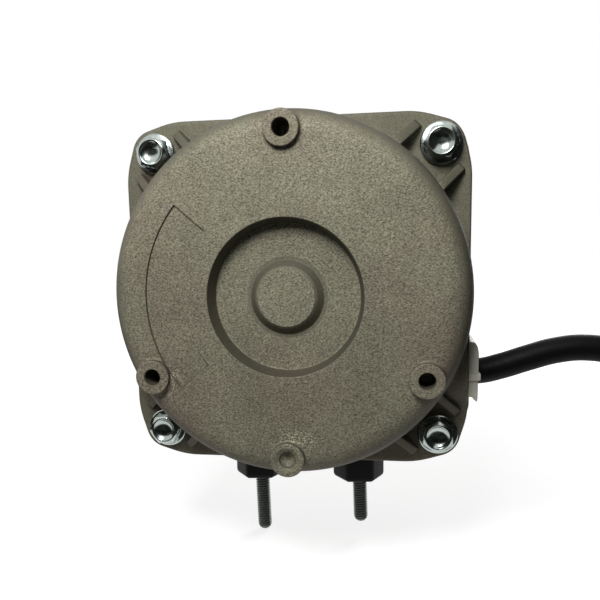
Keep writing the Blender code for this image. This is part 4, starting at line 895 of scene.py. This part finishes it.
def striped_finish(slot, colour, stripe):
    """Insulation with a second colour along part of its width."""
    s = Shading(slot)
    wave = s.math("SINE", s.times(s.axes(s.place)[0], math.tau / (9.0 * MM)))
    chosen = s.mix(s.spread(wave, 0.35, 0.4), colour, stripe)
    shade = s.scaled(chosen, s.spread(s.noise(600.0), 0.3, 0.7, 0.95, 1.05))
    return s.finish((colour, 0.4, 0.0), shade, 0.4, 0.0, s.bump(s.noise(1500.0), 0.3, 0.01 * MM))


def any_ray(tree, *kinds):
    """Socket that is 1 for rays of the named kinds."""
    path = tree.nodes.new("ShaderNodeLightPath")
    socket = path.outputs[kinds[0]]
    for kind in kinds[1:]:
        either = tree.nodes.new("ShaderNodeMath")
        either.operation = "MAXIMUM"
        tree.links.new(socket, either.inputs[0])
        tree.links.new(path.outputs[kind], either.inputs[1])
        socket = either.outputs[0]
    return socket


def matt_material(name, colour):
    """Material with its tree, which holds only a diffuse shader, and the socket of its surface."""
    material = bpy.data.materials.new(name)
    material.use_nodes = True
    tree = material.node_tree
    tree.nodes.clear()
    surface = tree.nodes.new("ShaderNodeOutputMaterial").inputs["Surface"]
    matt = tree.nodes.new("ShaderNodeBsdfDiffuse")
    matt.inputs["Color"].default_value = (*colour, 1.0)
    return plain_colour(material, colour, 0.9, 0.0), tree, matt.outputs[0], surface


def floor_finish(colour):
    """Pale floor that the camera sees as white where it is lit, and darker in the object's shadow."""
    material, tree, matt, surface = matt_material("floor_paper", colour)
    place = tree.nodes.new("ShaderNodeTexCoord")
    away = tree.nodes.new("ShaderNodeVectorMath")
    away.operation = "LENGTH"
    brighter = tree.nodes.new("ShaderNodeMapRange")
    for key, number in FLOOR_GLOW:
        brighter.inputs[key].default_value = number
    level = tree.nodes.new("ShaderNodeMath")
    level.operation = "MULTIPLY"
    glow = tree.nodes.new("ShaderNodeEmission")
    total = tree.nodes.new("ShaderNodeAddShader")
    link = tree.links.new
    link(place.outputs["Object"], away.inputs[0])
    link(away.outputs["Value"], brighter.inputs["Value"])
    link(any_ray(tree, "Is Camera Ray", "Is Glossy Ray", "Is Transmission Ray"), level.inputs[0])
    link(brighter.outputs["Result"], level.inputs[1])
    link(level.outputs[0], glow.inputs["Strength"])
    link(matt, total.inputs[0])
    link(glow.outputs[0], total.inputs[1])
    link(total.outputs[0], surface)
    return material


def card_finish(name, stops_bounces):
    """Black card that only reflections meet, and bounced light too where it is told to."""
    material, tree, matt, surface = matt_material(name, CARD_COLOUR)
    clear = tree.nodes.new("ShaderNodeBsdfTransparent")
    choose = tree.nodes.new("ShaderNodeMixShader")
    passes = ["Is Camera Ray", "Is Shadow Ray"]
    if not stops_bounces:
        passes.append("Is Diffuse Ray")
    tree.links.new(any_ray(tree, *passes), choose.inputs["Fac"])
    tree.links.new(matt, choose.inputs[1])
    tree.links.new(clear.outputs[0], choose.inputs[2])
    tree.links.new(choose.outputs[0], surface)
    return material


finishes = {}


def finish_for(slot):
    """The scene's material for one of the record's slots, made once."""
    if slot in finishes:
        return finishes[slot]
    colours = bpy.context.scene.motor_colours
    makers = {
        "cast_shell": (cast_finish, colours.cast, bpy.context.scene.motor_sizes.grain),
        "lamination": (lamination_finish, colours.lamination),
        "copper": (metal_finish, (0.72, 0.36, 0.20), 0.3),
        "coil_enamel": (winding_finish, colours.enamel),
        "bobbin": (plastic_finish, colours.bobbin, 0.5),
        "bronze": (metal_finish, (0.50, 0.36, 0.20), 0.55, 2500.0, 0.25, 0.02 * MM),
        "spring_steel": (metal_finish, (0.55, 0.55, 0.57), 0.3),
        "felt": (plastic_finish, (0.68, 0.64, 0.55), 0.95, 900.0, 0.15 * MM),
        "ground_steel": (metal_finish, colours.steel, 0.22, 1500.0, 0.08),
        "cage_aluminium": (metal_finish, (0.70, 0.71, 0.72), 0.45, 900.0, 0.12, 0.02 * MM),
        "screw_zinc": (metal_finish, colours.screw_zinc, 0.2, 600.0, 0.15),
        "stud_zinc": (metal_finish, colours.stud_zinc, 0.38, 1500.0, 0.25, 0.01 * MM),
        "nylon": (plastic_finish, colours.nylon, 0.42, 350.0, 0.01 * MM, 0.3),
        "foot_black": (plastic_finish, colours.foot, 0.5, 500.0, 0.02 * MM, 0.0, 0.12),
        "tie_black": (plastic_finish, colours.foot, 0.4, 500.0, 0.01 * MM, 0.0, 0.3),
        "cord_sheath": (plastic_finish, colours.sheath, 0.5, 300.0, 0.015 * MM, 0.0, 0.1),
        "core_brown": (plastic_finish, (0.20, 0.08, 0.03), 0.4),
        "core_blue": (plastic_finish, (0.04, 0.16, 0.50), 0.4),
        "core_green": (striped_finish, (0.12, 0.42, 0.06), (0.75, 0.62, 0.03)),
    }
    maker, *values = makers[slot]
    finishes[slot] = maker(slot, *values)
    return finishes[slot]


def colour_property(name, text, colour):
    return bpy.props.FloatVectorProperty(
        name=name, description=text, subtype="COLOR", size=3, min=0.0, max=1.0, default=tuple(colour)
    )


def length_property(name, text, value):
    return bpy.props.FloatProperty(
        name=name, description=text, unit="LENGTH", min=0.0, precision=5, default=value
    )


class MotorSizes(bpy.types.PropertyGroup):
    cover_detail: length_property("Rear cover detail", "Spacing of the rear cover's mesh", 0.45 * MM)
    shell_detail: length_property("Front cover detail", "Spacing of the front cover's mesh", 0.62 * MM)
    grain: length_property("Casting grain", "Depth of the grain on the castings", 0.06 * MM)
    screw_flats: length_property("Screw across flats", "Width of the cover screws' hexagon", 7.0 * MM)
    screw_dish: length_property("Screw dish radius", "Radius of the hollow in each screw head", 2.75 * MM)
    screw_dish_depth: length_property("Screw dish depth", "Depth of the hollow in each screw head", 0.9 * MM)
    stud_radius: length_property("Stud radius", "Outer radius of the foot studs' thread", 2.0 * MM)
    stud_pitch: length_property("Stud pitch", "Pitch of the foot studs' thread", 0.7 * MM)
    cord_diameter: length_property("Cord diameter", "Diameter of the cord's sheath", 6.4 * MM)
    core_diameter: length_property("Core diameter", "Diameter of each insulated core", 2.2 * MM)


class MotorColours(bpy.types.PropertyGroup):
    cast: colour_property("Castings", "Colour of both covers", (0.258, 0.246, 0.176))
    screw_zinc: colour_property("Screws", "Colour of the cover screws", (0.43, 0.48, 0.45))
    stud_zinc: colour_property("Studs", "Colour of the foot studs", (0.14, 0.15, 0.14))
    nylon: colour_property("Cable bush", "Colour of the cable bush", (0.86, 0.84, 0.70))
    foot: colour_property("Feet and tie", "Colour of the spacers and the tie", (0.005, 0.005, 0.005))
    sheath: colour_property("Cord", "Colour of the cord's sheath", (0.006, 0.006, 0.006))
    lamination: colour_property("Laminations", "Colour of the motor's iron", RECORD_COLOURS["lamination"])
    enamel: colour_property("Windings", "Colour of the enamelled wire", RECORD_COLOURS["coil_enamel"])
    bobbin: colour_property("Bobbins", "Colour of the coil formers", RECORD_COLOURS["bobbin"])
    steel: colour_property("Shaft", "Colour of the ground shaft", RECORD_COLOURS["ground_steel"])
    floor: colour_property("Floor", "Colour of the floor", (0.8, 0.8, 0.8))


class MOTOR_OT_camera(bpy.types.Operator):
    """Add the camera that matches the photograph"""

    bl_idname = "motor.camera"
    bl_label = "Camera"

    def execute(self, context):
        data = bpy.data.cameras.new("camera")
        data.lens = CAMERA_LENS
        data.shift_x, data.shift_y = CAMERA_SHIFT
        data.clip_start = 0.01
        camera = bpy.data.objects.new("camera", data)
        context.scene.collection.objects.link(camera)
        forward = Vector(CAMERA_FORWARD).normalized()
        right = forward.cross(Vector(CAMERA_UP)).normalized()
        up = right.cross(forward)
        turn = Matrix((right, up, -forward)).transposed().to_4x4()
        camera.matrix_world = Matrix.Translation(CAMERA_PLACE) @ turn
        context.scene.camera = camera
        return {"FINISHED"}


class MOTOR_OT_cord(bpy.types.Operator):
    """Add the free cord with its coil and cores; the tie is the imported piece"""

    bl_idname = "motor.cord"
    bl_label = "Cord"

    def execute(self, context):
        sizes = context.scene.motor_sizes
        sheath = finish_for("cord_sheath")
        cord = wire_object("supply_cord_sheath", cord_points(), sizes.cord_diameter, sheath, 8)
        finish_piece(cord, "motor", "cord_sheath", "supply_cord", "cord_coil")
        end = Vector(coil_point(COIL_SWEEP[1], COIL_RADII[1]))
        heading = math.radians(COIL_SWEEP[1] + 90.0)
        forward = Vector((math.cos(heading), math.sin(heading), 0.0))
        side = Vector((-forward.y, forward.x, 0.0))
        rest = FLOOR + sizes.core_diameter / 2
        pieces = [frame["nodes"]["cord_tie"]]
        for name, slot, place, lift in (
            ("brown", "core_brown", -1.0, 0.0), ("blue", "core_blue", 0.0, 1.0),
            ("earth", "core_green", 1.0, 0.0),
        ):
            start = end + side * place * 1.25 * MM + Vector((0.0, 0.0, (lift * 1.9 - 0.8) * MM))
            points = [start - forward * 2.0 * MM, start + forward * 2.0 * MM]
            for along, across, drop in CORE_FAN:
                fan = place * (0.5 + along * 0.13)
                point = end + forward * (along - fan * 0.6) * MM + side * (across + fan) * MM
                point.z = start.z + (rest - start.z) * drop
                points.append(point)
            core = wire_object(f"{name}_core", points, sizes.core_diameter, finish_for(slot))
            finish_piece(core, "motor", slot, "core_" + name)
            way = (points[-1] - points[-2]).normalized()
            bare = [points[-1] - way * MM, points[-1] + way * 6 * MM]
            strands = wire_object(f"{name}_strands", bare, 1.3 * MM, finish_for("copper"))
            finish_piece(strands, "motor", "copper")
            pieces += [core, strands]
        return {"FINISHED"}


def around(angle, elevation, distance):
    """Place at an angle from +X towards +Z about the aim, raised off the rear face towards the viewer."""
    flat = distance * math.cos(math.radians(elevation))
    x = flat * math.cos(math.radians(angle))
    z = flat * math.sin(math.radians(angle))
    return (AIM[0] + x, AIM[1] - distance * math.sin(math.radians(elevation)), AIM[2] + z)


def area_light(name, place, size, energy):
    data = bpy.data.lights.new(name, "AREA")
    data.size = size
    data.energy = energy
    light = bpy.data.objects.new(name, data)
    bpy.context.scene.collection.objects.link(light)
    light.location = place
    light.rotation_euler = (Vector(AIM) - Vector(place)).to_track_quat("-Z", "Y").to_euler()
    return light


def level_sheet(name, x, y, level, material):
    """Rectangle between two values of x and two of y."""
    corners = [(x[0], y[0], level), (x[1], y[0], level), (x[1], y[1], level), (x[0], y[1], level)]
    return add_object(name, mesh_from(name, corners, [(0, 1, 2, 3)]), material)


def upright_card(name, start, end, top, stops_bounces):
    """Card that stands just over the floor on a line from start to end."""
    corners = [(*start, CARD_LEVEL), (*end, CARD_LEVEL), (*end, top), (*start, top)]
    return add_object(name, mesh_from(name, corners, [(0, 1, 2, 3)]), card_finish(name, stops_bounces))


def white_world(scene):
    """World that is white where it is seen or mirrored, and dim as a light."""
    world = bpy.data.worlds.new("world")
    scene.world = world
    world.use_nodes = True
    tree = world.node_tree
    background = tree.nodes["Background"]
    background.inputs["Color"].default_value = (1.0, 1.0, 1.0, 1.0)
    level = tree.nodes.new("ShaderNodeMapRange")
    level.inputs["To Min"].default_value = WORLD_LIGHT
    seen = any_ray(tree, "Is Camera Ray", "Is Glossy Ray", "Is Transmission Ray")
    tree.links.new(seen, level.inputs["Value"])
    tree.links.new(level.outputs["Result"], background.inputs["Strength"])


class MOTOR_OT_stage(bpy.types.Operator):
    """Add the floor, the cards, the lamps and the world"""

    bl_idname = "motor.stage"
    bl_label = "Stage"

    def execute(self, context):
        scene = context.scene
        scene.view_settings.view_transform = "Standard"
        paper = floor_finish(scene.motor_colours.floor)
        floor = level_sheet("floor", FLOOR_SIDES, FLOOR_SIDES, FLOOR, paper)
        low = level_sheet("low_card", *LOW_CARD, CARD_LEVEL, card_finish("low_card", True))
        right, front, left = [upright_card(*card) for card in UPRIGHT_CARDS]
        key = area_light("key", around(*KEY_PLACE), *KEY_LAMP)
        back = area_light("back", BACK_PLACE, *BACK_LAMP)
        white_world(scene)
        return {"FINISHED"}


class MOTOR_OT_finishes(bpy.types.Operator):
    """Give every CAD piece that is carried over its procedural finish"""

    bl_idname = "motor.finishes"
    bl_label = "Finishes of CAD pieces"

    def execute(self, context):
        for name, obj in frame["nodes"].items():
            obj.data.materials.clear()
            obj.data.materials.append(finish_for(SLOT_OF[name]))
        return {"FINISHED"}


class MOTOR_OT_rear_cover(bpy.types.Operator):
    """Add the domed rear cover"""

    bl_idname = "motor.rear_cover"
    bl_label = "Rear cover"

    def execute(self, context):
        mesh = rear_cover_mesh(context.scene.motor_sizes.cover_detail / MM)
        cover = add_object("rear_cover_casting", mesh, finish_for("cast_shell"))
        finish_piece(cover, "motor", "cast_shell", "rear_cover", smooth_angle=50.0)
        return {"FINISHED"}


class MOTOR_OT_front_cover(bpy.types.Operator):
    """Add the square front cover"""

    bl_idname = "motor.front_cover"
    bl_label = "Front cover"

    def execute(self, context):
        mesh = front_cover_mesh(context.scene.motor_sizes.shell_detail / MM)
        cover = add_object("front_cover_casting", mesh, finish_for("cast_shell"))
        finish_piece(cover, "motor", "cast_shell", "front_cover", smooth_angle=50.0)
        return {"FINISHED"}


def screw_tree():
    """Puts the screw on every point, turned about its own axis by the point's own angle."""
    tree = bpy.data.node_groups.new("cover_screws", "GeometryNodeTree")
    for name, kind, direction in (
        ("Points", "NodeSocketGeometry", "INPUT"), ("Screw", "NodeSocketObject", "INPUT"),
        ("Finish", "NodeSocketMaterial", "INPUT"), ("Screws", "NodeSocketGeometry", "OUTPUT"),
    ):
        tree.interface.new_socket(name=name, in_out=direction, socket_type=kind)
    start = tree.nodes.new("NodeGroupInput")
    end = tree.nodes.new("NodeGroupOutput")
    screw = tree.nodes.new("GeometryNodeObjectInfo")
    turn = tree.nodes.new("GeometryNodeInputNamedAttribute")
    turn.data_type = "FLOAT"
    turn.inputs["Name"].default_value = "turn"
    back = tree.nodes.new("ShaderNodeMath")
    back.operation = "MULTIPLY"
    back.inputs[1].default_value = -1.0
    angles = tree.nodes.new("ShaderNodeCombineXYZ")
    angles.inputs["X"].default_value = math.pi / 2
    place = tree.nodes.new("GeometryNodeInstanceOnPoints")
    realize = tree.nodes.new("GeometryNodeRealizeInstances")
    paint = tree.nodes.new("GeometryNodeSetMaterial")
    for source, target in (
        (start.outputs["Points"], place.inputs["Points"]),
        (start.outputs["Screw"], screw.inputs["Object"]),
        (screw.outputs["Geometry"], place.inputs["Instance"]),
        (turn.outputs["Attribute"], back.inputs[0]),
        (back.outputs[0], angles.inputs["Y"]),
        (angles.outputs[0], place.inputs["Rotation"]),
        (place.outputs["Instances"], realize.inputs["Geometry"]),
        (realize.outputs["Geometry"], paint.inputs["Geometry"]),
        (start.outputs["Finish"], paint.inputs["Material"]),
        (paint.outputs["Geometry"], end.inputs["Screws"]),
    ):
        tree.links.new(source, target)
    return tree


class MOTOR_OT_screws(bpy.types.Operator):
    """Add the four hex washer head cover screws"""

    bl_idname = "motor.screws"
    bl_label = "Cover screws"

    def execute(self, context):
        sizes = context.scene.motor_sizes
        head = screw_mesh(sizes.screw_flats / MM, sizes.screw_dish / MM, sizes.screw_dish_depth / MM)
        form = add_object("screw_form", head)
        places = [(x * SCREW, SCREW_DEPTH, h * SCREW) for x, h in ((1, 1), (-1, 1), (-1, -1), (1, -1))]
        points = bpy.data.meshes.new("screw_places")
        points.from_pydata([tuple(p) for p in to_frame(places)], [], [])
        turn = points.attributes.new("turn", "FLOAT", "POINT")
        turn.data.foreach_set("value", [math.radians(a) for a in SCREW_TURNS])
        obj = add_object("cover_screws", points)
        tree = screw_tree()
        modifier = obj.modifiers.new("Screws", "NODES")
        modifier.node_group = tree
        values = {"Screw": form, "Finish": finish_for("screw_zinc")}
        for item in tree.interface.items_tree:
            if item.in_out == "INPUT" and item.name in values:
                modifier[item.identifier] = values[item.name]
        mesh = evaluated_mesh(obj)
        obj.modifiers.clear()
        obj.data = mesh
        bpy.data.objects.remove(form)
        replaced = [f"cover_screw_{number}" for number in (1, 2, 3, 4)]
        finish_piece(obj, "motor", "screw_zinc", *replaced, smooth_angle=32.0)
        return {"FINISHED"}


class MOTOR_OT_feet(bpy.types.Operator):
    """Add the two foot spacers and their threaded studs"""

    bl_idname = "motor.feet"
    bl_label = "Feet"

    def execute(self, context):
        sizes = context.scene.motor_sizes
        lean = Matrix.Rotation(STUD_LEAN, 4, "Y")
        for name, side, reach in FEET:
            centre = side * STUD_HALF_SPACING
            mesh = foot_mesh(f"{name}_spacer", Matrix.Translation((centre + SPACER_SHIFT, 0.0, 0.0)))
            foot = add_object(f"{name}_spacer", mesh, finish_for("foot_black"))
            finish_piece(foot, "motor", "foot_black", f"foot_spacer_{name}", smooth_angle=35.0)
            place = Matrix.Translation((centre + STUD_SHIFT, 0.0, 0.0)) @ lean
            radius, pitch = sizes.stud_radius / MM, sizes.stud_pitch / MM
            mesh = thread_mesh(f"{name}_stud", reach, 3.0, radius, pitch, place)
            stud = add_object(f"{name}_stud", mesh, finish_for("stud_zinc"))
            finish_piece(stud, "motor", "stud_zinc", f"foot_stud_{name}", smooth_angle=70.0)
        return {"FINISHED"}


class MOTOR_OT_cable_bush(bpy.types.Operator):
    """Add the moulded bush that the cord comes out of"""

    bl_idname = "motor.cable_bush"
    bl_label = "Cable bush"

    def execute(self, context):
        cord_radius = context.scene.motor_sizes.cord_diameter / 2 / MM + 0.15
        bush = add_object("cable_bush", bush_mesh(cord_radius), finish_for("nylon"))
        finish_piece(bush, "motor", "nylon", "cable_grommet", smooth_angle=35.0)
        return {"FINISHED"}


OPERATORS = (
    MOTOR_OT_camera, MOTOR_OT_cord, MOTOR_OT_stage, MOTOR_OT_finishes, MOTOR_OT_rear_cover,
    MOTOR_OT_front_cover, MOTOR_OT_screws, MOTOR_OT_feet, MOTOR_OT_cable_bush,
)


class MOTOR_PT_panel(bpy.types.Panel):
    """Lists the steps that build the motor"""

    bl_idname = "MOTOR_PT_panel"
    bl_label = "Shaded pole motor"
    bl_space_type = "VIEW_3D"
    bl_region_type = "UI"
    bl_category = "Motor"

    def draw(self, context):
        layout = self.layout
        for group in (context.scene.motor_sizes, context.scene.motor_colours):
            for key in group.bl_rna.properties.keys():
                if key not in ("rna_type", "name"):
                    layout.prop(group, key)
        for operator in OPERATORS:
            layout.operator(operator.bl_idname)


CLASSES = (MotorSizes, MotorColours, *OPERATORS, MOTOR_PT_panel)


def register():
    for cls in CLASSES:
        bpy.utils.register_class(cls)
    bpy.types.Scene.motor_sizes = bpy.props.PointerProperty(type=MotorSizes)
    bpy.types.Scene.motor_colours = bpy.props.PointerProperty(type=MotorColours)


def unregister():
    del bpy.types.Scene.motor_sizes
    del bpy.types.Scene.motor_colours
    for cls in reversed(CLASSES):
        bpy.utils.unregister_class(cls)


def plain(bounds):
    return [[float(value) for value in corner] for corner in bounds]


def main():
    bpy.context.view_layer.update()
    register()
    bpy.ops.motor.camera()
    bpy.ops.motor.cord()
    bpy.ops.motor.stage()
    bpy.ops.motor.finishes()
    bpy.ops.motor.rear_cover()
    bpy.ops.motor.front_cover()
    bpy.ops.motor.screws()
    bpy.ops.motor.feet()
    bpy.ops.motor.cable_bush()


if __name__ == "__main__":
    main()
